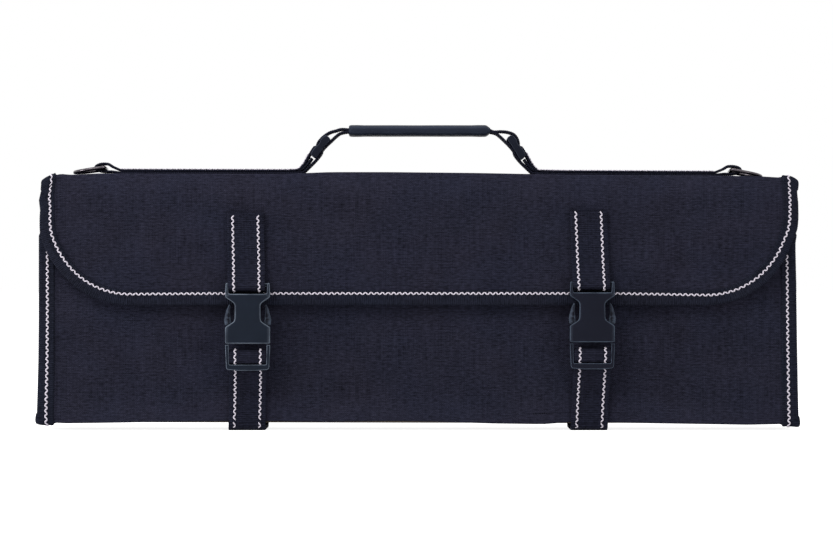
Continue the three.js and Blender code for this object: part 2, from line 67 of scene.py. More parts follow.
def linked(name, data):
    """A new object in the scene."""
    made = bpy.data.objects.new(name, data)
    bpy.context.scene.collection.objects.link(made)
    return made


# Photograph: its size, the front face's millimetres a pixel, the case's middle, and the ground's line
PHOTO_WIDTH, PHOTO_HEIGHT = 833, 555
PIXEL = 0.68
PHOTO_MID, PHOTO_GROUND = 418, 430.7
CAMERA_AWAY, SENSOR = 3200, 36
CLIP_METRES = 50


def add_camera():
    """A camera in front of the case, level with the photograph's middle."""
    data = bpy.data.cameras.new("camera")
    data.sensor_width = SENSOR
    data.lens = SENSOR * CAMERA_AWAY / (PHOTO_WIDTH * PIXEL)
    data.clip_end = CLIP_METRES
    camera = linked("camera", data)
    right = (PHOTO_WIDTH / 2 - PHOTO_MID) * PIXEL
    up = (PHOTO_GROUND - PHOTO_HEIGHT / 2) * PIXEL
    camera.location = Vector((right, low("lid_cover")[1] - CAMERA_AWAY, up)) * MM
    camera.rotation_euler = (np.pi / 2, 0, 0)
    bpy.context.scene.camera = camera


add_camera()


# Shader nodes
class Signal:
    """What a shader node puts out. Sums and products of signals become nodes too."""

    def __init__(self, tree, socket):
        self.tree, self.socket = tree, socket

    def maths(self, operation, other=0.0):
        return node(self.tree, "Math", {0: self, 1: other}, operation=operation)

    def __add__(self, other):
        return self.maths("ADD", other)

    def __mul__(self, other):
        return self.maths("MULTIPLY", other)

    def times(self, vector):
        return node(self.tree, "VectorMath", {0: self, 1: vector}, operation="MULTIPLY")

    def part(self, index):
        return node(self.tree, "SeparateXYZ", {0: self}, index)

    def noise(self, scale, detail=2.0):
        return node(self.tree, "TexNoise", {"Vector": self, "Scale": scale, "Detail": detail})

    def ramp(self, from_low, from_high, to_low=0.0, to_high=1.0):
        limits = {"From Min": from_low, "From Max": from_high, "To Min": to_low, "To Max": to_high}
        return node(self.tree, "MapRange", {"Value": self, **limits})

    def mix(self, first, second):
        return node(self.tree, "Mix", {"Factor": self, 6: first, 7: second}, 2, data_type="RGBA")


def node(tree, kind, inputs=None, output=0, **settings):
    """Adds a shader node and returns one of its outputs."""
    made = tree.nodes.new("ShaderNode" + kind)
    for key, value in settings.items():
        setattr(made, key, value)
    for key, value in (inputs or {}).items():
        if isinstance(value, Signal):
            tree.links.new(value.socket, made.inputs[key])
        else:
            made.inputs[key].default_value = value
    return Signal(tree, made.outputs[output]) if made.outputs else None


def colour(red, green, blue):
    """A linear colour with alpha, from screen values of 0 to 255."""
    shares = np.array((red, green, blue)) / 255
    linear = np.where(shares <= 0.04045, shares / 12.92, ((shares + 0.055) / 1.055) ** 2.4)
    return (*linear.tolist(), 1.0)


def new_material(name):
    material = bpy.data.materials.new(name)
    material.use_nodes = True
    material.node_tree.nodes.clear()
    return material, material.node_tree


def surface(material, base, rough, height, strength, depth, specular=0.5, **more):
    """The material's shader: base colour, roughness, and a bump from a height, with its depth in mm."""
    tree = material.node_tree
    bump = node(tree, "Bump", {"Height": height, "Strength": strength, "Distance": depth * MM})
    inputs = {"Base Color": base, "Roughness": rough, "Normal": bump, "Specular IOR Level": specular}
    node(tree, "OutputMaterial", {0: node(tree, "BsdfPrincipled", {**inputs, **more})})
    return material


def cloth_uv(tree):
    """The cloth's own coordinates in millimetres, and the parts across and along it."""
    uv = node(tree, "UVMap", uv_map="Cloth").times((1 / MM,) * 3)
    return uv, uv.part(0), uv.part(1)


# Materials. Noise lies about 0.5, and most of it between these values
DIM, BRIGHT = 0.3, 0.7
CLOTH_SPECULAR = 0.04
THREAD_LIGHT, THREAD_DARK = colour(226, 219, 230), colour(150, 143, 160)
PLY_LENGTH = 0.9
COOL, WARM = (0.97, 1.0, 1.03, 1), (1.04, 1.0, 0.98, 1)


def fabric(name, base, pitch, shade, rough, grain, depth, sheen=0.0, rib=None, painted_light=0.0):
    """Woven cloth. pitch is (across, along) in mm. grain: how much threads vary; the last argument: painted
    light, how much paler the cloth is painted near a crease.
    """
    material, tree = new_material(name)
    cloth, u, v = cloth_uv(tree)
    weave = (u * (np.pi / pitch[0])).maths("SINE") * (v * (np.pi / pitch[1])).maths("SINE")
    threads_up = cloth.times((1 / pitch[0], 0.03, 1)).noise(1.0)
    threads = threads_up + cloth.times((0.03, 1 / pitch[1], 1)).noise(1.0)
    patches, fluff = cloth.noise(0.045, 3.0), cloth.noise(3.0, 3.0)
    slubs = cloth.times((0.28, 1, 1)).noise(1.0, 3.0)
    if rib is not None:
        weave = weave * 0.35 + (v * (2 * np.pi / rib)).maths("COSINE")
    level = weave * shade + 1.0 + threads.ramp(0.6, 1.4, -grain, grain) + patches.ramp(DIM, BRIGHT, -0.1, 0.1)
    # The last term is painted light: the cloth is painted paler near a crease, fading out by 20 mm along it.
    level = level + fluff.ramp(DIM, BRIGHT, -grain / 2, grain / 2) + v.ramp(6.0, 20.0, painted_light, 0.0)
    level = level + slubs.ramp(DIM, BRIGHT, -1.3 * grain, 1.3 * grain)
    tinted = node(tree, "VectorMath", {0: base[:3], "Scale": level}, operation="SCALE")
    final = tinted.times(cloth.noise(0.02).ramp(0.35, 0.65).mix(COOL, WARM))
    return surface(
        material, final, fluff.ramp(DIM, BRIGHT, rough - 0.06, min(rough + 0.06, 1.0)), threads * 0.5 + weave,
        0.6, depth, CLOTH_SPECULAR, **{"Sheen Weight": sheen, "Sheen Roughness": 0.5},
    )


def thread_material():
    """Pale sewing thread: plies twisted together."""
    material, tree = new_material("thread")
    cloth, u, v = cloth_uv(tree)
    ply = (u * (2 * np.pi) + v * (2 * np.pi / PLY_LENGTH)).maths("SINE")
    fluff = cloth.noise(1.3, 3.0)
    shade = ply.ramp(-1, 1, 0.82, 1.0) + fluff.ramp(DIM, BRIGHT, -0.08, 0.06)
    rough = fluff.ramp(DIM, BRIGHT, 0.6, 0.85)
    return surface(material, shade.mix(THREAD_DARK, THREAD_LIGHT), rough, ply, 0.5, 0.08, 0.25)


def moulded(name, base, highlight_colour, rough, grain, coarse, specular=0.05):
    """Moulded plastic or rubber: fine grain, and paler edges where a face turns from the front, a painted
    highlight.
    """
    material, tree = new_material(name)
    spot = node(tree, "TexCoord", output="Object")
    fine, patches = spot.noise(1 / (grain * MM), 3.0), spot.noise(1 / (coarse * MM), 3.0)
    facing = node(tree, "TexCoord", output="Normal").part(1).maths("ABSOLUTE")
    # Painted highlight: faces turned part way from the front, as on rounded edges, are painted in the second
    # colour.
    painted_light = facing.ramp(0.985, 0.90) * facing.ramp(0.15, 0.35) * patches.ramp(0.3, 0.6, 0.4, 1.0)
    shade = patches.ramp(DIM, BRIGHT).mix((*(c * 0.9 for c in base[:3]), 1), base)
    roughness = fine.ramp(DIM, BRIGHT, -0.05, 0.05) + patches.ramp(DIM, BRIGHT, rough - 0.05, rough + 0.07)
    return surface(material, painted_light.mix(shade, highlight_colour), roughness, fine, 0.35, 0.05, specular)


def nickel_material():
    material, tree = new_material("nickel")
    spot = node(tree, "TexCoord", output="Object")
    rubs = spot.noise(1 / (1.2 * MM), 4.0)
    base = spot.noise(1 / (6 * MM), 3.0).mix(colour(96, 90, 94), colour(66, 63, 68))
    return surface(material, base, rubs.ramp(DIM, BRIGHT, 0.16, 0.34), rubs, 0.2, 0.03, Metallic=1.0)


def board_material():
    """Hardboard: pressed fibres, seen only at the boards' cut edges."""
    material, tree = new_material("hardboard")
    spot = node(tree, "TexCoord", output="Object")
    fibres = spot.noise(1 / (1.5 * MM), 4.0)
    shade = fibres.mix(colour(66, 56, 46), colour(108, 94, 78))
    base = spot.noise(1 / (20 * MM), 2.0).ramp(DIM, BRIGHT, 0.0, 0.4).mix(shade, colour(80, 70, 60))
    return surface(material, base, fibres.ramp(0.2, 0.8, 0.7, 0.95), fibres, 0.5, 0.15)


# The cover cloth is painted paler near its creases: painted light.
COVER = fabric("cover_cloth", colour(35, 35.5, 48), (0.75, 0.75), 0.14, 0.92, 0.34, 0.12, painted_light=0.22)
LINING = fabric("lining_cloth", colour(27, 27, 31), (0.5, 0.5), 0.06, 0.72, 0.08, 0.05, sheen=0.03)
TAPE = fabric("ribbed_tape", colour(29, 31, 42), (0.8, 0.32), 0.22, 0.88, 0.3, 0.12, rib=1.3)
WEBBING = fabric("webbing", colour(30, 31, 43), (0.9, 0.65), 0.26, 0.84, 0.34, 0.16, rib=1.3)
ELASTIC = fabric("elastic", colour(30, 30, 36), (1.6, 0.5), 0.2, 0.9, 0.1, 0.18, rib=1.0)
THREAD = thread_material()
# Each moulded material's second colour is its painted edge highlight.
PLASTIC = moulded("moulded_plastic", colour(27, 30, 41), colour(60, 66, 80), 0.36, 0.35, 7)
# Lit and shaded copies of one plastic: the left buckle is painted lighter, with brighter painted edge
# highlights, and the right one darker.
BUCKLE_PLASTIC_LIT_SHADED = {
    "left": moulded("buckle_plastic_lit_left", colour(27, 33, 44), colour(104, 113, 127), 0.36, 0.35, 7),
    "right": moulded("buckle_plastic_shaded_right", colour(24, 26, 37), colour(76, 86, 101), 0.36, 0.35, 7),
}
TAB = moulded("tab_plastic", colour(17, 18, 26), colour(66, 74, 88), 0.4, 0.35, 7)
RUBBER = moulded("grip_rubber", colour(36, 41, 54), colour(44, 50, 64), 0.55, 0.5, 12, specular=0.06)
NICKEL = nickel_material()
BOARD = board_material()


# Mesh building
CLOTH_SHARP, TAPE_SHARP = 60, 50  # degrees from which an edge is shaded sharp


class Build:
    """Gathers points in millimetres, faces, and each corner's cloth coordinates."""

    def __init__(self):
        self.points, self.faces, self.corners = [], [], []

    def loft(self, rings, girth, along, loop=False):
        """A skin over rings of points (n, m, 3), with cloth coordinates round each ring and along them."""
        n, m = rings.shape[:2]
        first = len(self.points)
        self.points += rings.reshape(-1, 3).tolist()
        uv = np.stack(np.broadcast_arrays(girth, along if along.ndim == 2 else along[:, None]), -1)
        for i in range(n if loop else n - 1):
            a, b = first + i * m, first + (i + 1) % n * m
            for j in range(m):
                k = (j + 1) % m
                self.faces.append((a + j, a + k, b + k, b + j))
                self.corners += [uv[i, j], uv[i, j + 1], uv[i + 1, j + 1], uv[i + 1, j]]
        if not loop:
            last = first + (n - 1) * m
            self.faces += [tuple(first + j for j in reversed(range(m))), tuple(last + j for j in range(m))]
            self.corners += [*uv[0, m - 1::-1], *uv[n - 1, :m]]

    def done(self, name, material, sharp=None):
        mesh = bpy.data.meshes.new(name)
        mesh.from_pydata((np.array(self.points) * MM).tolist(), [], self.faces)
        corners = np.array(self.corners, np.float32) * MM
        mesh.uv_layers.new(name="Cloth").uv.foreach_set("vector", corners.ravel())
        work = bmesh.new()
        work.from_mesh(mesh)
        bmesh.ops.recalc_face_normals(work, faces=work.faces)
        work.to_mesh(mesh)
        work.free()
        mesh.shade_smooth()
        if sharp is not None:
            mesh.set_sharp_from_angle(angle=np.radians(sharp))
        mesh.materials.append(material)
        return linked(name, mesh)


def skin(name, rings, girth, along, material, sharp=None, loop=False):
    b = Build()
    b.loft(rings, girth, along, loop)
    return b.done(name, material, sharp)


def sheet_skin(name, outer, inner, u, v, material):
    """A closed thin sheet between two grids of points."""
    there_and_back = lambda grid: np.concatenate([grid, grid[:, ::-1], grid[:, :1]], 1)
    rings = np.concatenate([outer, inner[:, ::-1]], axis=1)
    return skin(name, rings, there_and_back(u), there_and_back(v), material, CLOTH_SHARP)


# How the soft case gives, in millimetres. Its top sinks by these amounts along its length (x, down),
SAG = (
    (-257.5, 6.3), (-254, 4.6), (-250, 2.8), (-246, 1.0), (-242, 0.7), (-237, 1.2), (-230, 1.0),
    (-218, 0.3), (-90, 0.6), (-60, -0.6), (-20, -0.6), (40, 0.0), (100, 1.2), (200, 1.7), (233, 2.3),
    (246, 3.1), (253, 4.1), (257.5, 6.4),
)
# its bottom droops between the straps and towards its ends (x, down),
DROOP = (
    (-257.5, 0.2), (-250, 1.0), (-240, 1.6), (-215, 1.3), (-180, 0.7), (-130, 0.2), (-104, 0.2), (-60, 0.6),
    (-20, 0.1), (10, 0.4), (50, 1.7), (85, 2.2), (104, 0.8), (130, 0.8), (150, 1.4), (225, 2.6), (244, 2.2),
    (253, 1.5), (257.5, 2.2),
)
# and its sides bow outwards (height, out)
FLARE_LEFT = (
    (8, 2.6), (26, 2.0), (48, 1.4), (75, 1.1), (134, 1.1), (142, 0.2), (152, -0.4), (162, 0.4), (168, -0.7),
    (173, -2.0),
)
FLARE_RIGHT = (
    (8, 2.2), (29, 1.6), (60, 1.0), (100, 0.5), (122, 0.0), (128, 0.0), (137, 1.5), (160, 1.2), (168, 0.5),
)
FLARE_FROM, FLARE_FULL = 240.0, 257.0
# Heights at which each begins, is full, begins to fade, and has faded
SAG_HEIGHTS, DROOP_HEIGHTS = (140, 170, 186, 198), (1, 3.6, 15, 45)


def ease(values, start, end):
    """0 up to start, 1 from end on, and smooth between them."""
    share = np.clip((values - start) / (end - start), 0, 1)
    return share * share * (3 - 2 * share)


def give(piece):
    """Lets a piece follow the case's sag, droop and flare."""
    mesh = piece.data
    points = np.empty(len(mesh.vertices) * 3)
    mesh.vertices.foreach_get("co", points)
    points = points.reshape(-1, 3)
    x, _, z = points.T / MM
    upper, lower = (ease(z, a, b) * (1 - ease(z, c, d)) for a, b, c, d in (SAG_HEIGHTS, DROOP_HEIGHTS))
    down = upper * np.interp(x, *zip(*SAG)) + lower * np.interp(x, *zip(*DROOP))
    out = np.where(x < 0, -np.interp(z, *zip(*FLARE_LEFT)), np.interp(z, *zip(*FLARE_RIGHT)))
    points[:, 0] += out * ease(np.abs(x), FLARE_FROM, FLARE_FULL) * MM
    points[:, 2] -= down * MM
    mesh.vertices.foreach_set("co", points.ravel())
    mesh.update()


def place(piece, body=None, bend=None, node_name=None):
    """Follows the case's give and rides on one body. With a bend, (body, body, start, end) in millimetres, it
    stays fixed where it is: the bend's bodies and span are not used.
    """
    give(piece)
    if bend is not None:
        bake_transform(piece)
    else:
        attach(piece, body)
    if node_name is not None:
        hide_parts(node_name)
    return piece


sheets = []


def declare(piece, width, length, area=None, held="stretched"):
    """Keeps a sheet's flat size in millimetres until the end."""
    sheets.append((piece, (width, length), area, held))


def unit(vectors):
    return vectors / np.linalg.norm(vectors, axis=-1, keepdims=True)


def tangents(points):
    return unit(np.gradient(points, axis=0))


def fillet(points, radii, closed=False, steps=6):
    """The polyline with each corner rounded to its radius."""
    points = [np.array(p, float) for p in points]
    count = len(points)
    out = []
    for i, (corner, radius) in enumerate(zip(points, np.broadcast_to(radii, count))):
        if not closed and i in (0, count - 1) or radius == 0:
            out.append(corner)
            continue
        back, on = unit(points[i - 1] - corner), unit(points[(i + 1) % count] - corner)
        half = np.arccos(np.clip(back @ on, -1, 1)) / 2
        centre = corner + unit(back + on) * radius / np.sin(half)
        start = corner + back * radius / np.tan(half) - centre
        end = corner + on * radius / np.tan(half) - centre
        turned = np.arccos(np.clip(start @ end / radius**2, -1, 1))
        for t in np.arange(steps + 1) / steps:
            way = np.sin((1 - t) * turned) * start + np.sin(t * turned) * end
            out.append(centre + way / np.sin(turned))
    return np.array(out)


def measured(points):
    """Length along a polyline at each of its points."""
    return np.concatenate([[0], np.cumsum(np.linalg.norm(np.diff(points, axis=0), axis=1))])


def girth_of(section):
    """Length round a closed section at each of its points, and once more at the first."""
    return measured(np.concatenate([section, section[:1]])[:, :2])


def resample(points, step):
    """Even steps along a polyline, and the points there."""
    points = np.asarray(points, float)
    along = measured(points)
    at = np.linspace(0, along[-1], max(2, round(along[-1] / step) + 1))
    return at, np.stack([np.interp(at, along, values) for values in points.T], 1)


def wobble(u, v, size):
    """A cloth face's slight unevenness in millimetres."""
    slow = np.sin(u / 31 + 0.6 * np.sin(v / 23)) * np.sin(v / 27 + 0.8)
    quick = np.sin(u / 12.7 + v / 19) * np.sin(v / 11 - u / 41)
    return size * (0.7 * slow + 0.3 * quick)


class Panel:
    """A flat face: u runs along X, v up or across it, and w outwards from the cover's outer face."""

    def __init__(self, origin, v, w):
        self.origin, self.v, self.w = np.array(origin, float), v, w

    def at(self, u, v, w):
        point = self.origin
        for amount, along in ((u, X), (v, self.v), (w, self.w)):
            point = point + np.multiply.outer(amount, along)
        return point


# Planes and sizes taken from the frame
lid_face, lid_back = low("lid_cover")[1], high("lid_lining")[1]
front_face, front_back = low("front_cover")[1], high("front_lining")[1]
back_face, back_inner = high("back_cover")[1], low("back_lining")[1]
floor_face, floor_inner = low("bottom_cover")[2], high("bottom_lining")[2]
top_face, top_inner = high("top_cover")[2], low("top_lining")[2]
half_cloth, half_case = high("lid_cover")[0], high("lid_tape")[0]
panel_thick, proud = lid_back - lid_face, half_case - half_cloth
leg = high("back_tape_left")[0] - low("back_tape_left")[0]
cover_thick, lining_thick = 0.8, 0.8
board_thick = panel_thick - cover_thick - lining_thick
buckle_x = (high("upper_strap_right")[0] + low("upper_strap_right")[0]) / 2
lid_length = top_face - low("lid_cover")[2]
front_length = high("front_cover")[2] - floor_face
tray_height = top_face - floor_face
seat = 0.3

LID = Panel((0, lid_face, top_face), -Z, -Y)
FRONT = Panel((0, front_face, floor_face), Z, -Y)
BACK = Panel((0, back_face, floor_face), Z, Y)
BOTTOM = Panel((0, 0, floor_face), Y, -Z)
TOP = Panel((0, 0, top_face), Y, Z)


# Cloth faces
CREASE = 7.0  # how far from a corner the cloth over the crease takes over from the face
LINING_MARGIN = 2.0  # the linings stop this far short of the boards' ends
BOARD_SLACK = 0.3  # the boards' pieces keep this far from the cloth
LID_CORNER, FRONT_CORNER = 60.7, 2.5
ROW = 6.0  # the rows' step up to a rounded corner
EVEN_CALM = 14  # how far from its ends a face comes to its full unevenness
even = np.linspace(-1, 1, 96)
ACROSS_SHARES = even + 0.18 * np.sin(np.pi * even)  # closer together towards a panel's ends

# For each panel's nodes: piece, plane, body, the spans of its cover and its lining, corner, and steps
PANELS = {
    "lid": (
        "flap", LID, "flap", (CREASE, lid_length), (LINING_MARGIN + panel_thick, lid_length), LID_CORNER, 14,
    ),
    "front": (
        "front", FRONT, "front_panel", (CREASE, front_length), (LINING_MARGIN, front_length), FRONT_CORNER, 6,
    ),
    "back": (
        "back", BACK, "tray", (CREASE, tray_height - CREASE),
        (LINING_MARGIN, tray_height - LINING_MARGIN), 0, 28,
    ),
    "bottom": (
        "bottom", BOTTOM, "tray", (front_face + CREASE, back_face - CREASE),
        (front_back + seat, back_inner - seat), 0, 12,
    ),
    "top": (
        "top", TOP, "top_panel", (lid_face + CREASE, back_face - CREASE),
        (lid_back + seat, back_inner - seat), 0, 12,
    ),
}
COVER_UNEVEN, LINING_UNEVEN, WALL_UNEVEN = 0.18, 0.12, 0.15


def panel_rows(start, end, half, corner, steps):
    """v values and half widths of a panel. With a corner, its free edge is rounded in that many steps."""
    if not corner:
        return np.linspace(start, end, steps), np.full(steps, half)
    straight = np.linspace(start, end - corner, max(2, round((end - corner - start) / ROW)))
    angles = np.linspace(0, np.pi / 2, steps + 1)[1:]
    halves = np.concatenate([np.full(len(straight), half), half - corner + corner * np.cos(angles)])
    return np.concatenate([straight, end - corner + corner * np.sin(angles)]), halves


def cloth_face(name, panel, rows, halves, thick, face_w, material, uneven):
    """A closed thin sheet over a panel's rows."""
    u = halves[:, None] * ACROSS_SHARES
    v = rows[:, None] + np.zeros_like(u)
    lift = face_w + wobble(u, v, uneven) * np.clip(np.minimum(v - v[0], v[-1] - v) / EVEN_CALM, 0, 1)
    return sheet_skin(name, panel.at(u, v, lift), panel.at(u, v, lift - thick), u, v, material)


def add_cloths(layer, name_end, which, material, thick, face_w, uneven):
    """A layer of cloth over every panel. which tells the cover's span (0) from the lining's (1)."""
    lid_area = 2 * half_cloth * (lid_length - CREASE) - (2 - np.pi / 2) * LID_CORNER**2
    for word, (piece, panel, body, *spans, corner, steps) in PANELS.items():
        rows, halves = panel_rows(*spans[which], half_cloth, corner, steps)
        made = cloth_face(piece + name_end, panel, rows, halves, thick, face_w, material, uneven)
        place(made, body, node_name=word + layer)
        declare(made, 2 * half_cloth, rows[-1] - rows[0], lid_area if word == "lid" else None)


def add_boards():
    """The boards, a little smaller than the room between cover and lining. The lid's has round corners."""
    for word, steps in (("lid", 14), ("top", 12), ("back", 28), ("bottom", 12), ("front", 28)):
        _, panel, body, *_ = PANELS[word]
        lowest, highest = low(word + "_board"), high(word + "_board")
        start, end = sorted((edge - panel.origin) @ panel.v for edge in (lowest, highest))
        half = min(half_cloth, highest[0] - BOARD_SLACK)
        corner = LID_CORNER - half_cloth + half if word == "lid" else 0
        rows, halves = panel_rows(start + BOARD_SLACK, end - BOARD_SLACK, half, corner, steps)
        thick, face_w = board_thick - 2 * BOARD_SLACK, -cover_thick - BOARD_SLACK
        made = cloth_face(word + "_stiffener", panel, rows, halves, thick, face_w, BOARD, 0.0)
        place(made, body, node_name=word + "_board")


def add_faces():
    add_cloths("_cover", "_cloth", 0, COVER, cover_thick, 0.0, COVER_UNEVEN)
    add_cloths("_lining", "_lining_cloth", 1, LINING, lining_thick, lining_thick - panel_thick, LINING_UNEVEN)
    add_boards()


# Strips
FINE_STEP = 0.4  # between points on a bent path


def ribbon(b, path, across, section, step, rib=None, depth=0.0, flat_end=None):
    """A strip swept along a path in space. section is (m, 3): across, height, and its share of the rib."""
    at, points = resample(path, step)
    normal = unit(np.cross(tangents(points), across))
    side, height, ribbed = section.T
    swell = depth * np.cos(2 * np.pi * at / rib) if rib else np.zeros(len(at))
    heights = height + swell[:, None] * ribbed
    rings = points[:, None] + side[:, None] * across + heights[..., None] * normal[:, None]
    if flat_end is None:
        b.loft(rings, girth_of(section), at)
    else:
        b.loft(rings, np.append(side, side[0]), at - at[-1] + flat_end)


def strip_section(width, thick, layers=1, columns=8):
    """Webbing's section: flat faces that carry the ribs, rounded edges, and a groove between layers."""
    half, tall, single = width / 2, thick / 2, thick / layers
    inset = min(single / 2, 1.0)
    flat = np.linspace(-half + inset, half - inset, columns)
    edge = []
    for k in range(layers):
        middle = tall - single * (k + 0.5)
        for a in np.radians((60, 25, -25, -60)):
            edge.append((half - inset + inset * np.cos(a), middle + single / 2 * np.sin(a), 0.0))
    points = [(x, tall, 1.0) for x in flat] + edge + [(x, -tall, -1.0) for x in flat[::-1]]
    return np.array(points + [(-x, y, r) for x, y, r in reversed(edge)])


def sheet_section(half, thick):
    """A wide thin section whose height 0 is its outer face."""
    flat = half * ACROSS_SHARES
    return np.array([(x, 0.0, 0.0) for x in flat] + [(x, -thick, 0.0) for x in flat[::-1]])


# Creases: the directions in which the cloth leaves each long corner, the bodies named for its two ends, which
# the placing leaves unused, and 1 where its run keeps the outer face outwards, or else -1
TUCK, TUCK_UNDER = 0.8, 0.012
CREASES = (
    ("heel", -Y, Z, None, 1),
    ("floor", Y, Z, ("tray", "front_panel"), -1),
    ("back", -Z, -Y, ("tray", "top_panel"), 1),
    ("flap", Y, -Z, ("top_panel", "flap"), 1),
)
COVER_CORNERS = {
    "heel": (back_face, floor_face), "floor": (front_face, floor_face), "back": (back_face, top_face),
    "flap": (lid_face, top_face),
}
LINING_CORNERS = {
    "floor": (front_back, floor_inner), "back": (back_inner, top_inner), "flap": (lid_back, top_inner),
}
LINING_CREASE_IN = 0.6  # the linings' creases end this far from the end walls


def add_creases(slot, material, corners, half, reach, turn_at, radius, thick):
    """Cloth bent round the creases, its ends tucked under the faces. turn_at: how near to a corner the bend's
    span lies; the placing doesn't use it.
    """
    for name, back, on, bodies, inward in CREASES:
        if name not in corners:
            continue
        corner = np.array((0, *corners[name]))
        first, last = corner + reach * back, corner + reach * on
        bent = fillet([first, corner, last], radius, steps=8)
        ends = first + back * TUCK + on * TUCK_UNDER, last + on * TUCK + back * TUCK_UNDER
        path = np.concatenate([ends[:1], bent, ends[1:]])
        b = Build()
        ribbon(b, path, X, sheet_section(half, thick * inward), FINE_STEP, flat_end=CREASE + TUCK)
        made = b.done(f"crease_{slot}_{name}", material, CLOTH_SHARP)
        bend = bodies and (*bodies, corner + turn_at * back, corner + turn_at * on)
        place(made, "tray", bend)
        declare(made, 2 * half, measured(path)[-1])


# Ribbed edge tape
CORNER_IN = panel_thick + proud  # from a face to the line where two panels' tapes meet inside
RIB, RIB_DEPTH = 1.3, 0.09
STITCH_IN = 8.0


def tape_section():
    """(inwards from the edge, above the cover's face, share of the rib inwards and up) round the tape."""
    outside = [
        (leg, 0.3, 0, 0.3), (leg - 0.3, 0.85, 0, 0.8), (leg - 1.2, 1.1, 0, 1), (STITCH_IN + 0.8, 1.02, 0, 1),
        (STITCH_IN - 0.8, 1.02, 0, 1), (5.4, 1.24, 0, 1), (3.2, 1.3, 0, 1), (1.5, 1.22, 0, 1),
        (0.6, 0.85, -0.5, 0.8), (0.1, 0.1, -1, 0.3), (0, -1.2, -1, 0),
    ]
    behind = [(d, -panel_thick - w, rd, -rw) for d, w, rd, rw in reversed(outside)]
    fold, gap = 1.2, 0.02
    inside = [(leg, -panel_thick - gap), (fold, -panel_thick - gap), (fold, gap), (leg, gap)]
    return np.array(outside + behind + [(d, w, 0, 0) for d, w in inside])


SECTION = tape_section()


def ribbed_section(at):
    """The tape's section at each length along it: inwards and up."""
    swell = RIB_DEPTH * np.cos(2 * np.pi * at / RIB)[:, None]
    return SECTION[:, 0] + swell * SECTION[:, 2], SECTION[:, 1] + swell * SECTION[:, 3]


def free_edge(half, end, corner, start):
    """The outer line of a tape round a panel's two sides and free edge, as (u, v)."""
    points = [(-half, start), (-half, end), (half, end), (half, start)]
    return fillet(points, [0, corner, corner, 0], steps=24)


def outward(line, turn):
    """Unit directions square to a flat line. turn is 1 or -1, and chooses the side."""
    return tangents(line)[:, ::-1] * (turn, -turn)


def add_tape(name, panel, line, turn, body, node_name, limits=None):
    """Folded tape along a line in a panel's plane. limits holds back its inner points at small corners."""
    at, line = resample(line, RIB / 4)
    normals = outward(line, turn)
    inwards, height = ribbed_section(at)
    u, v = (line[:, k, None] - inwards * normals[:, k, None] for k in (0, 1))
    if limits is not None:
        half, end = limits
        u = np.clip(u, -half + inwards, half - inwards)
        v = np.minimum(v, end - inwards)
    made = skin(name, panel.at(u, v, height), girth_of(SECTION), at, TAPE, TAPE_SHARP)
    place(made, body, node_name=node_name)


# Stitches. A seam is its points, and at each the outward and the sideways direction
ZIGZAG_PITCH, ZIGZAG_WIDTH, THREAD_RADIUS = 3.85, 1.3, 0.5
WIDTH_VARIES, PLACE_VARIES = 0.12, 0.08
SEAM_HEIGHT = 1.0
chance = np.random.default_rng(11)


def seam_of(points, outwards, sideways):
    return [np.broadcast_to(values, points.shape) for values in (points, outwards, sideways)]


def stitch_line(panel, line, turn, inwards):
    """A seam that runs beside a line in a panel's plane. inwards may vary along it."""
    _, line = resample(line, 1.0)
    normals = outward(line, turn)
    given = np.atleast_1d(inwards)
    inwards = np.interp(np.linspace(0, 1, len(line)), np.linspace(0, 1, len(given)), given)
    spot = line - normals * inwards[:, None]
    return seam_of(panel.at(*spot.T, SEAM_HEIGHT), panel.w, normals[:, :1] * X + normals[:, 1:] * panel.v)


def zigzag(b, seam, pitch, width, radius):
    """Slanted stitches along a seam, each a short arched thread that dips into the cloth at both ends."""
    along = measured(seam[0])
    half = pitch / 2
    t, ring = np.linspace(0, 1, 7), np.linspace(0, 2 * np.pi, 7)
    angles = ring[:-1, None]
    for k in range(int(along[-1] / half)):
        swing = 1 if k % 2 else -1
        slack = 1 + WIDTH_VARIES * chance.uniform(-1, 1)
        s = (k + t) * half + PLACE_VARIES * chance.uniform(-1, 1)
        lateral = swing * width / 2 * slack * np.cos(np.pi * t)
        rise = radius * (1.2 * np.sin(np.pi * t) ** 0.6 - 0.35)
        spot, up, side = (np.stack([np.interp(s, along, part) for part in values.T], 1) for values in seam)
        spot = spot + lateral[:, None] * side + rise[:, None] * up
        forward = tangents(spot)
        beside = unit(np.cross(forward, up))
        above = np.cross(beside, forward)
        fat = radius * (0.72 + 0.28 * np.sin(np.pi * t))[:, None, None]
        rings = spot[:, None] + fat * (np.cos(angles) * beside[:, None] + np.sin(angles) * above[:, None])
        b.loft(rings, ring / (2 * np.pi), measured(spot) + chance.uniform(0, 40))


def add_stitches(
    name, seams, body=None, bend=None, pitch=ZIGZAG_PITCH, width=ZIGZAG_WIDTH, radius=THREAD_RADIUS,
):
    b = Build()
    for seam in seams:
        zigzag(b, seam, pitch, width, radius)
    place(b.done(name, THREAD), body, bend)


# Seams in the photograph: distances in from the tape's edge at the left, the free edge and the right
LID_SEAM = (7.2, 7.3, 8.0, 8.0, 8.0, 8.0, 6.4, 5.4)
FRONT_SEAM_LEFT, FRONT_SEAM_RIGHT = 5.8, 6.2
SIDE_SEAM = 6.5
STRAP_HIDES = 11  # to each side of a strap's middle, a seam under it isn't stitched


def beside_straps(seam):
    """The runs of a seam that no strap covers."""
    hidden = np.abs(np.abs(seam[0][:, 0]) - buckle_x) < STRAP_HIDES
    cuts = np.flatnonzero(np.diff(hidden)) + 1
    parts = zip(*(np.split(values, cuts) for values in (*seam, hidden)))
    return [part[:3] for part in parts if not part[3][0]]


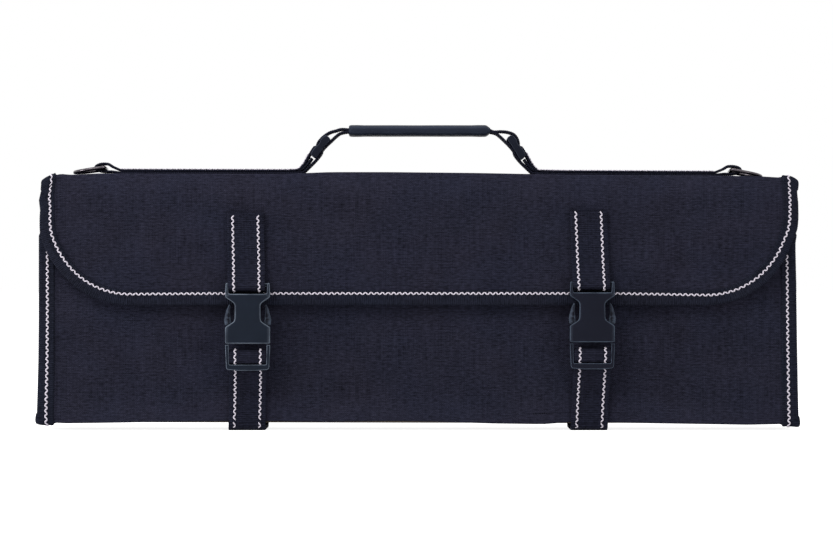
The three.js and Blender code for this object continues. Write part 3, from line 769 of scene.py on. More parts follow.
def add_tapes():
    lid_end, front_end = lid_length + proud, front_length + proud
    lid_line = free_edge(half_case, lid_end, LID_CORNER + proud, CORNER_IN)
    add_tape("flap_tape", LID, lid_line, -1, "flap", "lid_tape")
    add_stitches("flap_seam", beside_straps(stitch_line(LID, lid_line, -1, LID_SEAM)), "flap")
    front_line = free_edge(half_case, front_end, FRONT_CORNER + proud, CORNER_IN)
    add_tape("front_edge_tape", FRONT, front_line, -1, "front_panel", "front_tape", (half_case, front_end))
    turn_up, turn_in = front_end - STITCH_IN, half_case - STITCH_IN
    runs = (
        ([(-half_case, CORNER_IN), (-half_case, turn_up)], FRONT_SEAM_LEFT),
        ([(-turn_in, front_end), (turn_in, front_end)], FRONT_SEAM_RIGHT),
        ([(half_case, turn_up), (half_case, CORNER_IN)], FRONT_SEAM_RIGHT),
    )
    add_stitches("front_seam", [stitch_line(FRONT, run, -1, inset) for run, inset in runs], "front_panel")
    for word, side in SIDES:
        for name, panel, body, start, end in (
            ("back", BACK, "tray", 0, tray_height),
            ("bottom", BOTTOM, "tray", front_face, back_face),
            ("top", TOP, "top_panel", lid_face, back_face),
        ):
            line = [(side * half_case, start + CORNER_IN), (side * half_case, end - CORNER_IN)]
            add_tape(f"{name}_edge_tape_{word}", panel, line, side, body, f"{name}_tape_{word}")
            add_stitches(f"{name}_seam_{word}", [stitch_line(panel, line, side, SIDE_SEAM)], body)


# The tape goes on round each corner: the point where two tapes meet inside, the first and second outward
# direction, the bodies, and how far in the seam runs on the first and on the next panel, left and right
WRAPS = (
    ("floor", (front_face + CORNER_IN, floor_face + CORNER_IN), -Y, -Z, ("front_panel", "tray"),
     ((5.8, 6.5), (6.2, 6.5))),
    ("heel", (back_face - CORNER_IN, floor_face + CORNER_IN), -Z, Y, None, ((6.5, 6.5), (6.5, 6.5))),
    ("back", (back_face - CORNER_IN, top_face - CORNER_IN), Y, Z, ("tray", "top_panel"),
     ((6.5, 6.5), (6.5, 6.5))),
    ("flap", (lid_face + CORNER_IN, top_face - CORNER_IN), Z, -Y, ("top_panel", "flap"),
     ((6.5, 7.2), (6.5, 5.4))),
)
WRAP_BULGE, WRAP_ROUND, WRAP_LEAST = 0.9, 4.2, 0.03
BEND_HALF = 1.2  # half the width of the strip given to a wrap's bend, which the placing doesn't use
SEAM_SUNK = 0.3  # the thread's base is this far under the wrap's outer line


def laid(origin, flat, first, second):
    """Flat points in space, along two directions from an origin."""
    return origin + flat[..., :1] * first + flat[..., 1:] * second


def add_wraps():
    size = CORNER_IN + proud
    fat, near = size + WRAP_BULGE, size * 0.45
    outline = [(size, 0), (fat, near), (fat, fat), (near, fat), (0, size)]
    at, line = resample(fillet(outline, [0, 4, WRAP_ROUND, 4, 0], steps=10), RIB / 6)
    normals = outward(line, 1)
    inwards, height = ribbed_section(at)
    share = np.maximum((height + CORNER_IN) / size, WRAP_LEAST)
    depth = inwards - WRAP_BULGE * np.sin(np.pi * at / at[-1])[:, None] * (SECTION[:, 0] < 1.0)
    flat = line[:, None, :] * share[..., None]
    on = np.linspace(0, 1, len(line))[:, None]
    for name, middle, first, second, bodies, insets in WRAPS:
        inner = np.array((0, *middle))
        diagonal = (second - first) / np.sqrt(2) * BEND_HALF
        bend = bodies and (*bodies, inner - diagonal, inner + diagonal)
        for (word, side), (inset, next_inset) in zip(SIDES, insets):
            points = laid(inner, flat, first, second) + (side * (half_case - depth))[..., None] * X
            made = skin(f"{name}_corner_tape_{word}", points, girth_of(SECTION), at, TAPE, TAPE_SHARP)
            place(made, "tray", bend)
            spots = laid(inner, line - SEAM_SUNK * normals, first, second)
            spots = spots + side * (half_case - inset + (inset - next_inset) * on) * X
            seam = seam_of(spots, laid(0, normals, first, second), side * X)
            add_stitches(f"{name}_corner_seam_{word}", [seam], "tray", bend)


add_faces()
add_creases("cloth", COVER, COVER_CORNERS, half_cloth, CREASE, turn_at=1.5, radius=1.0, thick=0.7)
add_tapes()
add_wraps()
add_creases(
    "lining", LINING, LINING_CORNERS, low("end_right_lining")[0] - LINING_CREASE_IN, 6.0, turn_at=4.0,
    radius=0.8, thick=0.5,
)


# Webbing straps
WEB = high("upper_strap_left")[0] - low("upper_strap_left")[0]
LAYER = 1.6
buckle_y = (high("buckle_socket_left")[1] + low("buckle_socket_left")[1]) / 2
socket_top, socket_mouth = high("buckle_socket_left")[2], low("buckle_socket_left")[2]
FRAME_BAR, PLUG_BAR = (97.8, 100.3), (48.8, 53.0)
plug_foot = low("buckle_plug_left")[2]
strap_top, strap_foot = high("upper_strap_left")[2], low("lower_strap_left")[2]
STRAP_TOP_LIFT = {"left": 0.2, "right": 1.5}
UPPER_SPLIT, LOWER_LEAVES = 113.0, 24.0  # heights at which a strap leaves the panel for its buckle
WEB_RIB, WEB_RIB_DEPTH = 1.35, 0.1
FLAT, DOUBLE = strip_section(WEB, LAYER), strip_section(WEB, LAYER * 2, layers=2)

# Each strap leans, as the photograph shows: how far its middle stands to the right at these heights
LEAN_AT = (0, 40, 53, 95, 147)
LEAN = {"left": (-0.1, 1.0, 1.0, 0.2, -0.9), "right": (0.0, 1.8, 2.1, 1.4, -0.7)}
BUCKLE_SHIFT = {"left": 1.0, "right": 1.7}
BUCKLE_LIFT = {"left": 0.0, "right": 1.0}
STRAP_SEAMS, WIDE_SEAMS = (-8.6, 8.6), (-9.6, 9.6)
SEAM_LIFT, TOP_SEAM_LIFT = 0.75, 0.62


def add_webbing(name, paths, across, node_name, section=FLAT, body=None, bend=None):
    b = Build()
    for path in paths:
        ribbon(b, path, across, section, WEB_RIB / 4, WEB_RIB, WEB_RIB_DEPTH)
    place(b.done(name, WEBBING, TAPE_SHARP), body, bend, node_name=node_name)


def arc(centre_a, centre_b, radius, start, end):
    """Points on an arc in a plane, with angles in degrees."""
    angles = np.radians(np.linspace(start, end, 14))
    return [(centre_a + radius * np.cos(a), centre_b + radius * np.sin(a)) for a in angles]


def upper_strap_path(lift, top):
    """(y, z) of the middle of the strap: down behind, round the socket's bar, and up in front."""
    face = lid_face - seat
    rear, front = face - LAYER / 2, face - LAYER * 1.5
    round_bar = arc(buckle_y, sum(FRAME_BAR) / 2 + lift, 3.35, 0, -180)
    path = [(rear, top), (rear, UPPER_SPLIT), *round_bar, (front, UPPER_SPLIT), (front, top)]
    return fillet(path, [0, 14] + [0] * len(round_bar) + [14, 0])


def lower_strap_path(lift):
    """(y, z) of the middle of the strap: up behind, round the plug's bar, and down in front."""
    face = front_face - seat
    rear, front = face - LAYER / 2, face - LAYER * 1.5
    bar_z, radius = sum(PLUG_BAR) / 2 + lift, 3.5
    behind_bar, foot = buckle_y + 1.7, plug_foot + lift
    round_bar = arc(buckle_y, bar_z, radius, 0, 180)
    path = [
        (rear, strap_foot), (rear, LOWER_LEAVES), (buckle_y + radius, bar_z - 5), *round_bar,
        (buckle_y - radius + 0.6, foot + 5.6), (behind_bar, foot + 4.2), (behind_bar, foot),
        (front, LOWER_LEAVES - 1), (front, strap_foot),
    ]
    return fillet(path, [0, 10, 6] + [0] * len(round_bar) + [1.2, 2, 3, 10, 0])


def in_space(path, x):
    """(y, z) points as points in space, at x or at x leaning with height."""
    return np.column_stack([np.broadcast_to(x, len(path)), path])


def front_seams(path, middle, low_z, high_z):
    """The seams on a strap's front layer, from its visible run of the path. middle gives x along a path."""
    _, front = resample(path[np.argmax(np.abs(path[:, 1] - path[0, 1])):], FINE_STEP)
    front = front[(front[:, 1] > low_z) & (front[:, 1] < high_z)]
    along = tangents(front)
    normal = np.column_stack([np.zeros(len(front)), -along[:, 1], along[:, 0]])
    normal *= -np.sign(normal[:, 1].mean())
    return [
        seam_of(in_space(front, middle(front) + offset) + normal * SEAM_LIFT, normal, X)
        for offset in STRAP_SEAMS
    ]


def add_straps():
    base_front, base_back = front_face - seat - LAYER, back_face + seat + LAYER
    base_top = high("strap_base_left")[2]
    points = [(base_front, strap_foot), (base_front, LAYER), (base_back, LAYER), (base_back, base_top)]
    base = fillet(points, [0, 4, 5.4, 0])
    _, run = resample(base, FINE_STEP)
    outwards = in_space(outward(run, 1), 0)
    for word, side in SIDES:
        x, lean = side * buckle_x, LEAN[word]
        top = strap_top + STRAP_TOP_LIFT[word]
        upper, lower = upper_strap_path(BUCKLE_LIFT[word], top), lower_strap_path(BUCKLE_LIFT[word])
        middle = lambda path: x + np.interp(path[:, 1], LEAN_AT, lean)
        name = "upper_strap_" + word
        add_webbing("upper_webbing_" + word, [in_space(upper, middle(upper))], X, name, body="flap")
        seams = front_seams(upper, middle, FRAME_BAR[0] - 2.4, top - 0.3)
        add_stitches("upper_webbing_seam_" + word, seams, "flap")

        bend = ("front_panel", "plug_" + word, (x, 0, strap_foot), (x, 0, PLUG_BAR[0]))
        name = "lower_strap_" + word
        add_webbing("lower_webbing_" + word, [in_space(lower, middle(lower))], X, name, bend=bend)
        seams = front_seams(lower, middle, strap_foot - 1, PLUG_BAR[1] + 3)
        add_stitches("lower_webbing_seam_" + word, seams, bend=bend)

        under = lambda path: x + np.interp(path[:, 0], (front_face, back_face), (lean[0], 0)) + np.where(
            path[:, 0] < front_face, np.interp(path[:, 1], LEAN_AT, lean) - lean[0], 0)
        bend = ("tray", "front_panel", (x, base_front + 12, LAYER), (x, base_front, strap_foot - 0.5))
        name = "strap_base_" + word
        add_webbing("under_webbing_" + word, [in_space(base, under(base))], X, name, DOUBLE, bend=bend)
        seams = []
        for part in (run[:, 0] < 0, run[:, 0] > 0):
            part = part & (run[:, 1] > LAYER + 0.7)
            for offset in STRAP_SEAMS:
                points = in_space(run[part], under(run[part]) + offset) + outwards[part] * (LAYER - 0.05)
                seams.append(seam_of(points, outwards[part], X))
        add_stitches("under_webbing_seam_" + word, seams, bend=bend)


# Moulded pieces
BEVEL_FROM, SHADED_SHARP = 35, 40  # degrees from which an edge is rounded, or shaded sharp


def inset_corners(corners, radii, amount):
    """The corners of an anticlockwise outline moved inwards, and radii that keep its arcs concentric."""
    back = unit(corners - np.roll(corners, 1, 0))
    on = unit(np.roll(corners, -1, 0) - corners)
    first, second = back[:, ::-1] * (1, -1), on[:, ::-1] * (1, -1)
    middle = unit(first + second)
    moved = corners - middle * (amount / np.sum(middle * first, 1))[:, None]
    convex = back[:, 0] * on[:, 1] - back[:, 1] * on[:, 0] > 0
    changed = np.where(convex, radii - amount, radii + amount)
    return moved, np.where(radii > 0, np.maximum(changed, 0.03), 0)


def moulding(corners, radii, depth_range, bevel, steps=3, arc_steps=5, deep=None):
    """A plate with rounded edges, from its (x, z) corners, anticlockwise. deep: the bevel's depth."""
    corners = np.array(corners, float)
    radii = np.broadcast_to(np.array(radii, float), len(corners))
    deep = bevel if deep is None else deep
    y0, y1 = depth_range
    angles = np.linspace(0, np.pi / 2, steps + 1)
    profile = [(bevel * (1 - np.sin(a)), deep * (1 - np.cos(a))) for a in angles]
    layers = [(amount, y0 + up) for amount, up in profile]
    layers += [(amount, y1 - up) for amount, up in reversed(profile)]
    work = bmesh.new()
    rings = []
    for amount, y in layers:
        flat = fillet(*inset_corners(corners, radii, amount), closed=True, steps=arc_steps)
        rings.append([work.verts.new((px, y, pz)) for px, pz in flat])
    for ring, upper in zip(rings, rings[1:]):
        for j in range(len(ring)):
            k = (j + 1) % len(ring)
            work.faces.new((ring[j], ring[k], upper[k], upper[j]))
    for ring in (rings[0], rings[-1]):
        for triangle in tessellate_polygon([[Vector((v.co.x, v.co.z, 0)) for v in ring]]):
            work.faces.new([ring[i] for i in triangle])
    bmesh.ops.recalc_face_normals(work, faces=work.faces)
    return work


def sliced(work, axis, cuts):
    """Cuts every face at planes across one axis, so that a broad face can be curved."""
    normal = Vector([float(k == axis) for k in range(3)])
    for value in cuts:
        geometry = work.verts[:] + work.edges[:] + work.faces[:]
        bmesh.ops.bisect_plane(work, geom=geometry, plane_co=normal * value, plane_no=normal, dist=1e-5)


def reshaped(work, change):
    for v in work.verts:
        v.co = Vector(change(*v.co))


def solid(name, work, at, material=None):
    """The mesh object of a moulding, moved to its place, in metres."""
    for v in work.verts:
        v.co = (v.co + Vector(at)) * MM
    bmesh.ops.recalc_face_normals(work, faces=work.faces)
    mesh = bpy.data.meshes.new(name)
    work.to_mesh(mesh)
    work.free()
    if material:
        mesh.materials.append(material)
    return linked(name, mesh)


def block(name, at, x_range, y_range, z_range, radius=0.4, bevel=0.3):
    (x0, x1), (z0, z1) = sorted(x_range), z_range
    corners = [(x0, z0), (x1, z0), (x1, z1), (x0, z1)]
    return solid(name, moulding(corners, radius, y_range, bevel, steps=2, arc_steps=3), at)


def baked(piece):
    """Puts what the piece's modifiers make in the place of its mesh."""
    bpy.context.view_layer.update()
    mesh = bpy.data.meshes.new_from_object(piece.evaluated_get(bpy.context.evaluated_depsgraph_get()))
    piece.modifiers.clear()
    piece.data = mesh


def carve(piece, others, operation="DIFFERENCE"):
    for other in others:
        modifier = piece.modifiers.new("cut", "BOOLEAN")
        modifier.operation = operation
        modifier.solver = "EXACT"
        modifier.object = other
        baked(piece)
        bpy.data.objects.remove(other)


def soften(piece, width):
    """Rounds what edges are still sharp, then shades the faces smoothly."""
    modifier = piece.modifiers.new("edges", "BEVEL")
    modifier.width = width * MM
    modifier.segments = 2
    modifier.limit_method = "ANGLE"
    modifier.angle_limit = np.radians(BEVEL_FROM)
    modifier.use_clamp_overlap = True
    baked(piece)
    piece.data.shade_smooth()
    piece.data.set_sharp_from_angle(angle=np.radians(SHADED_SHARP))


def mirrored(right):
    return right + [(-px, pz) for px, pz in reversed(right)]


# Buckles
SOCKET_HALF, SOCKET_DEEP = 15.3, 4.8
POST_IN = 13.1  # half the opening between the socket's two posts
WAIST, CROWN, RAIL_IN, RAIL_TOP = 8.9, 1.1, 12.95, 58.4
NECK = 91  # height from which the socket gets thinner towards its top
WRIST = 50  # height at which the plug's rails are deepest
TAB_FOOT, TAB_TOP = 71.9, 81


def crowned(px, py, pz):
    """The socket's front bows out, and its neck is thinner."""
    if py < 0:
        py -= CROWN * (1 - (px / SOCKET_HALF) ** 2) - CROWN / 2
    if pz > NECK:
        py *= 1 - 0.3 * (pz - NECK) / (socket_top - NECK)
    return px, py, pz


def waisted(px, py, pz):
    return px, py * (1 - 0.06 * abs(pz - WRIST) / 9), pz


def ridged(px, py, pz):
    """Grip ribs on a tab's outer face, which slopes away from a slanting ridge."""
    out = abs(px)
    if out > 14.2 and 72.5 < pz < TAB_TOP:
        px += np.sign(px) * 0.14 * np.cos(2 * np.pi * pz / 1.45)
    if pz > TAB_FOOT:
        py *= 1.3 - 0.16 * abs(out - (13.4 - (pz - 72) * 0.10)) - 0.045 * max(0.0, pz - 76)
    return px, py, pz


def add_socket(word, at):
    right = [
        (SOCKET_HALF, socket_mouth), (SOCKET_HALF, 70.5), (WAIST, 74.6), (WAIST - 0.2, 86.4),
        (SOCKET_HALF, 90.8), (SOCKET_HALF - 0.35, socket_top), (POST_IN + 0.25, socket_top), (POST_IN, 93.1),
    ]
    radii = [0.9, 1.6, 3.4, 3.4, 1.8, 0.75, 0.75, 1.2]
    work = moulding(mirrored(right), radii + radii[::-1], (-SOCKET_DEEP, SOCKET_DEEP), 0.65, deep=0.9)
    sliced(work, 0, np.linspace(-12, 12, 9))
    sliced(work, 2, (63, 67, 78, 82, 95))
    reshaped(work, crowned)
    piece = solid("buckle_socket_shell_" + word, work, at, BUCKLE_PLASTIC_LIT_SHADED[word])
    carve(piece, [
        block("mouth", at, (-13.7, 13.7), (-3.4, 3.4), (socket_mouth - 3, 70.4)),
        block("guide", at, (-4.5, 4.5), (-2.0, 2.0), (60, 81)),
        block("left opening", at, (-WAIST - 0.6, -13.2), (-3.0, 3.0), (66, 79)),
        block("right opening", at, (WAIST + 0.6, 13.2), (-3.0, 3.0), (66, 79)),
    ])
    bar = block("bar", at, (-POST_IN - 0.9, POST_IN + 0.9), (-1.5, 1.5), FRAME_BAR, 0.5, 0.6)
    carve(piece, [bar], "UNION")
    soften(piece, 0.2)
    place(piece, "flap", node_name="buckle_socket_" + word)


def add_plug(word, at):
    right = [
        (6, plug_foot - 0.25), (SOCKET_HALF - 0.75, plug_foot + 0.4), (SOCKET_HALF, RAIL_TOP),
        (RAIL_IN, RAIL_TOP), (RAIL_IN - 0.3, plug_foot + 3.7),
    ]
    radii = [20, 1.9, 0.4, 0.4, 0.9]
    work = moulding(mirrored(right), radii + radii[::-1], (-4.0, 4.0), 0.5)
    sliced(work, 2, np.linspace(44, 58, 8))
    reshaped(work, waisted)
    piece = solid("buckle_plug_frame_" + word, work, at, BUCKLE_PLASTIC_LIT_SHADED[word])
    room = RAIL_IN - 0.15
    carve(piece, [block("strap room", at, (-room, room), (-1.3, 6), (plug_foot - 4, plug_foot + 3.8))])
    carve(piece, [
        block("bar", at, (-13.8, 13.8), (-1.2, 1.2), PLUG_BAR, 1.1, 0.5),
        block("head", at, (-13.4, 13.4), (-2.9, 2.9), (59.2, 62.5), 0.8, 0.6),
        block("left post", at, (-13.55, -12.85), (-2.9, 2.9), (55.0, 61.5), 0.2, 0.15),
        block("right post", at, (12.85, 13.55), (-2.9, 2.9), (55.0, 61.5), 0.2, 0.15),
        block("tongue", at, (-4, 4), (-1.5, 1.5), (60.5, 80), 1.4, 0.4),
    ], "UNION")
    soften(piece, 0.18)
    place(piece, "plug_" + word, node_name="buckle_plug_" + word)


def add_prong(word, at, side, which):
    """A sprung arm that ends in the curved tab one squeezes."""
    corners = [
        (10.0, 62.9), (12.6, 62.9), (12.9, 71.6), (15.6, 71.9), (16.0, 75.4), (15.2, 79.2), (14.4, 82.2),
        (12.6, 85.9), (11.7, 85.6), (12.0, 80.0), (11.2, 74.5),
    ]
    radii = [0.3, 0.3, 0.6, 0.9, 3, 4, 3, 0.4, 0.35, 4, 4]
    if side < 0:
        corners = [(-px, pz) for px, pz in reversed(corners)]
        radii = radii[::-1]
    work = moulding(corners, radii, (-2.5, 2.5), 0.35, steps=2)
    sliced(work, 2, np.linspace(72.6, 84.0, 24))
    sliced(work, 0, [side * 13.4])
    reshaped(work, ridged)
    piece = solid(f"release_tab_{word}_{which}", work, at, TAB)
    soften(piece, 0.12)
    place(piece, f"prong_{word}_{which}", node_name=f"release_prong_{word}_{which}")


def add_buckles():
    for word, side in SIDES:
        at = (side * buckle_x + BUCKLE_SHIFT[word], buckle_y, BUCKLE_LIFT[word])
        add_socket(word, at)
        add_plug(word, at)
        add_prong(word, at, side, "outer")
        add_prong(word, at, -side, "inner")


# Top webbing, rings and handle
top_mid = (low("top_webbing_left")[1] + high("top_webbing_left")[1]) / 2
web_foot, fold_end = high("top_webbing_left")[0], low("top_webbing_left")[0]
FOLD_HALF, FOLD_RISE = (7.2, 3.9), 4.2
JOIN = 11.0  # from the eye's middle to where the strap's two layers meet
EYE_LIFT = 0.8  # how far the lower layer stands off the case under the eye
fold_x = -fold_end - FOLD_HALF[0]
RING_WIRE, RING_REACH = 2.4, 22.4
RING_ROLL = {"left": 1.5, "right": 2.0}
RING_DROOP = {"left": 5.0, "right": 9.0}


def in_xz(path, y):
    """(x, z) points as points in space."""
    return np.insert(path, 1, y, axis=1)


def top_seams(path, lift):
    """The seams along a strap whose path is (x, z)."""
    _, run = resample(path, 0.8)
    normal = in_xz(tangents(run)[:, ::-1] * (-1, 1), 0)
    return [seam_of(in_xz(run, top_mid + offset) + normal * lift, normal, Y) for offset in WIDE_SEAMS]


def add_top_webbing():
    low_z, high_z = top_face + seat + LAYER / 2, top_face + seat + LAYER * 1.5
    middle = top_face + FOLD_RISE + EYE_LIFT / 2
    a, c = FOLD_HALF[0] - LAYER / 2, FOLD_HALF[1] - LAYER / 2 - EYE_LIFT / 2
    angles = np.linspace(-np.pi / 2, np.pi * 0.62, 22)
    eye = [(fold_x + a * np.cos(t), middle + c * np.sin(t)) for t in angles]
    path = [(-web_foot, low_z), (fold_x - JOIN, low_z), (fold_x - 5.0, low_z + EYE_LIFT), *eye]
    path += [(fold_x - 5.0, high_z + 2.6), (fold_x - JOIN, high_z), (-web_foot, high_z)]
    path = fillet(path, [0, 6, 6] + [0] * len(eye) + [5, 6, 0])
    for word, side in SIDES:
        strand = in_xz(path * (side, 1), top_mid)
        add_webbing("top_strap_" + word, [strand], Y * side, "top_webbing_" + word, body="top_panel")
        ends = sorted([(-side * web_foot, high_z), (side * (fold_x - JOIN), high_z)])
        add_stitches("top_strap_seam_" + word, top_seams(ends, TOP_SEAM_LIFT), "top_panel")


def add_rings():
    """Bent wire: a straight bar in the webbing's eye and a bow that lies down outwards."""
    wire = RING_WIRE / 2
    half, straight = WEB / 2 + 0.6 + wire, RING_REACH / 3
    bow = RING_REACH - straight - wire
    curve = [(straight + bow * np.cos(t), half * np.sin(t)) for t in np.linspace(-np.pi / 2, np.pi / 2, 40)]
    flat = fillet([(0, half), (0, -half), *curve], [1.6, 1.6] + [0] * len(curve), closed=True)
    round_wire = np.linspace(0, 2 * np.pi, 17)
    angles = round_wire[:-1, None]
    for word, side in SIDES:
        roll, droop = np.radians(RING_ROLL[word]), np.radians(RING_DROOP[word])
        along = side * np.cos(droop) * X - np.sin(droop) * Z
        across = Y * np.cos(roll) - Z * np.sin(roll)
        line = laid(np.array((side * fold_x, top_mid, top_face + FOLD_RISE)), flat, along, across)
        up = unit(np.cross(along, across))
        beside = np.cross(unit(np.roll(line, -1, 0) - np.roll(line, 1, 0)), up)
        rings = line[:, None] + wire * (np.cos(angles) * beside[:, None] + np.sin(angles) * up)
        length = measured(np.concatenate([line, line[:1]]))
        made = skin("wire_ring_" + word, rings, round_wire * wire, length, NICKEL, loop=True)
        place(made, "ring_" + word, node_name="shoulder_ring_" + word)


grip_low, grip_high = low("handle_grip"), high("handle_grip")
GRIP_HALF = grip_high[0]
GRIP_TIP = 1.045  # the sleeve's right end tapers out to this share of its half length
grip_z = (grip_low[2] + grip_high[2]) / 2
leg_foot_x, leg_foot_z = high("handle_webbing")[0], top_face + seat + LAYER
# Strands of a leg: shares of the way from its foot to the grip, and of the rise from foot to grip.
# The lower strand dives into the slider, the upper one comes out of it, and the inner one passes behind.
LOWER_SHARES = (
    (-0.17, 0.014), (-0.07, 0.047), (0.025, 0.155), (0.094, 0.281), (0.15, 0.396), (0.213, 0.518),
    (0.27, 0.594), (0.345, 0.576),
)
UPPER_LEFT = (
    (0.36, 0.56), (0.317, 0.622), (0.351, 0.727), (0.448, 0.849), (0.586, 0.953), (0.724, 1.0),
    (0.837, 1.035),
)
UPPER_RIGHT = (
    (0.36, 0.56), (0.32, 0.625), (0.326, 0.73), (0.372, 0.845), (0.45, 0.925), (0.583, 0.97), (0.72, 0.98),
    (0.86, 0.975),
)
INNER_SHARES = (
    (0.0, -0.03), (0.044, -0.004), (0.138, 0.094), (0.26, 0.227), (0.36, 0.356), (0.408, 0.442),
    (0.423, 0.507), (0.52, 0.637), (0.608, 0.734), (0.724, 0.86), (0.821, 0.935),
)
TAIL_SHARES = ((-0.038, 0.014), (0.066, 0.115), (0.147, 0.223), (0.205, 0.32))
SLIDER_LENGTH, SLIDER_THICK, SLIDER_RAIL = 17.4, 5.6, 2.4
SLIDER_TILT = {"left": 53.0, "right": 56.0}
SLIDER_SHARE = {"left": (0.389, 0.60), "right": (0.37, 0.60)}


def smooth_curve(points, steps=8):
    """A curve through all the points (Catmull-Rom)."""
    points = np.array(points, float)
    padded = np.concatenate([[2 * points[0] - points[1]], points, [2 * points[-1] - points[-2]]])
    out = []
    for p0, p1, p2, p3 in zip(padded, padded[1:], padded[2:], padded[3:]):
        square, cube = 2 * p0 - 5 * p1 + 4 * p2 - p3, 3 * p1 - p0 - 3 * p2 + p3
        for t in np.arange(steps) / steps:
            out.append(0.5 * (2 * p1 + (p2 - p0) * t + square * t**2 + cube * t**3))
    return np.array([*out, points[-1]])


def leg_points(shares, side):
    run, rise = leg_foot_x - GRIP_HALF, grip_z - leg_foot_z
    return [(side * (leg_foot_x - a * run), leg_foot_z + u * rise) for a, u in shares]


def through_grip(left_shares, right_shares, height):
    """A strand from one leg through the grip to the other."""
    halves = []
    for shares, side in ((left_shares, -1), (right_shares, 1)):
        within = [(side * (GRIP_HALF - reach), grip_z + height) for reach in (-0.5, 5, 12)]
        halves.append(smooth_curve(leg_points(shares, side) + within))
    return np.concatenate([halves[0], halves[1][::-1]])


def add_handle():
    bend = ("top_panel", "handle", (0, top_mid, leg_foot_z - 0.5), (0, top_mid, leg_foot_z + 9))
    legs = [smooth_curve(leg_points(LOWER_SHARES, side)) for _, side in SIDES]
    tails = [smooth_curve(leg_points(TAIL_SHARES, side)) for _, side in SIDES]
    upper = through_grip(UPPER_LEFT, UPPER_RIGHT, LAYER / 2)
    inner = through_grip(INNER_SHARES, INNER_SHARES, -LAYER / 2)
    strands = [in_xz(strand, top_mid) for strand in (upper, inner, *legs, *tails)]
    add_webbing("handle_strap", strands, -Y, "handle_webbing", bend=bend)
    left, right = (strand[strand[:, 1] < leg_foot_z + 13] for strand in legs)
    seams = top_seams(left, SEAM_LIFT) + top_seams(right[::-1], SEAM_LIFT)
    add_stitches("handle_strap_seam", seams, bend=bend)
    add_grip()
    for word, side in SIDES:
        add_slider(side, word)


def add_grip():
    """A moulded sleeve with softly chamfered ends, open for the webbing."""
    width, height = grip_high[1] - grip_low[1], grip_high[2] - grip_low[2]
    stations = (
        (-1, 0.84), (-0.993, 0.95), (-0.97, 1.04), (-0.88, 1.05), (-0.78, 1.01), (-0.4, 1.02), (0, 1.0),
        (0.4, 1.02), (0.78, 1.01), (0.88, 1.05), (0.97, 1.04), (0.993, 0.98), (1.02, 0.74), (GRIP_TIP, 0.5),
    )
    girth = np.linspace(0, 2 * (width + height), 49)
    angles = np.linspace(0, 2 * np.pi, 49)[:-1]
    cos, sin = np.cos(angles), np.sin(angles)

    def ring(x, half_w, half_h, power):
        y = half_w * np.sign(cos) * np.abs(cos) ** (2 / power)
        z = half_h * np.sign(sin) * np.abs(sin) ** (2 / power)
        return in_xz(np.column_stack([np.full(len(cos), x), grip_z + z]), top_mid + y)

    bore, deep, lip = (WEB / 2 + 0.5, LAYER + 0.45), 6.0, 0.2
    least = bore[0] + 0.6
    rings = [
        ring(GRIP_HALF * x, max(width / 2 * (0.5 + 0.5 * k), least), height / 2 * k, 3.2) for x, k in stations
    ]
    for x in (GRIP_HALF * GRIP_TIP - lip, GRIP_HALF - deep, -GRIP_HALF + deep, -GRIP_HALF + lip):
        rings.append(ring(x, *bore, 6))
    length = measured(np.array(rings)[:, 0])
    length = np.append(length, length[-1] + 1)
    made = skin("grip_sleeve", np.array(rings), girth, length, RUBBER, TAPE_SHARP, loop=True)
    place(made, "handle", node_name="handle_grip")


def add_slider(side, word):
    """A flat bar slider: two side rails of bone shape joined by three bars that the webbing weaves round."""
    (middle_x, middle_z), = leg_points([SLIDER_SHARE[word]], side)
    at = (middle_x, top_mid, middle_z)
    half, thick = SLIDER_LENGTH / 2, SLIDER_THICK / 2
    bone = [
        (-half, -thick), (-half * 0.35, -thick * 0.84), (half * 0.3, -thick * 0.84), (half, -thick),
        (half, thick * 0.8), (half * 0.45, thick), (-half * 0.15, thick * 0.62), (-half * 0.5, thick),
        (-half, thick * 0.75),
    ]
    tilt = np.radians(SLIDER_TILT[word]) * side
    cos, sin = np.cos(tilt), np.sin(tilt)

    def tilted(px, py, pz):
        px = px * side
        return px * cos + pz * sin, py, -px * sin + pz * cos

    inside = WEB / 2 + 0.5
    pieces = []
    for rail in (-1, 1):
        span = sorted((rail * inside, rail * (inside + SLIDER_RAIL)))
        work = moulding(bone, [1.8, 8, 8, 1.8, 1.8, 6, 5, 3, 1.8], span, 0.5)
        reshaped(work, tilted)
        pieces.append(solid("handle_slide_" + word, work, at, PLASTIC))
    reach = half - LAYER - 1.3
    for bar_x in (-reach, 0, reach):
        corners = [(bar_x - 1.2, -0.9), (bar_x + 1.2, -0.9), (bar_x + 1.2, 0.9), (bar_x - 1.2, 0.9)]
        work = moulding(corners, 0.6, (-inside - 1, inside + 1), 0.1, steps=1)
        reshaped(work, tilted)
        pieces.append(solid("bar", work, at))
    carve(pieces[0], pieces[1:], "UNION")
    soften(pieces[0], 0.15)
    place(pieces[0], "handle", node_name="handle_slider_" + word)


# Inside: blade sleeves and elastic bands. For each: node, channels, side of the case, a channel's width and
# rise, thickness, material, slot and body
HOLDERS = (
    ("back_blade_sleeve", 5, 1, 19, 6.0, 1.0, LINING, "lining", "tray"),
    ("back_handle_band", 5, 1, 20, 13.0, 1.4, ELASTIC, "elastic", "tray"),
    ("front_blade_sleeve", 4, -1, 19, 6.0, 1.0, LINING, "lining", "front_panel"),
    ("front_handle_band", 4, -1, 20, 13.0, 1.4, ELASTIC, "elastic", "front_panel"),
)
HOLDER_PITCH, HOLDER_MARGIN = 26, 1.5


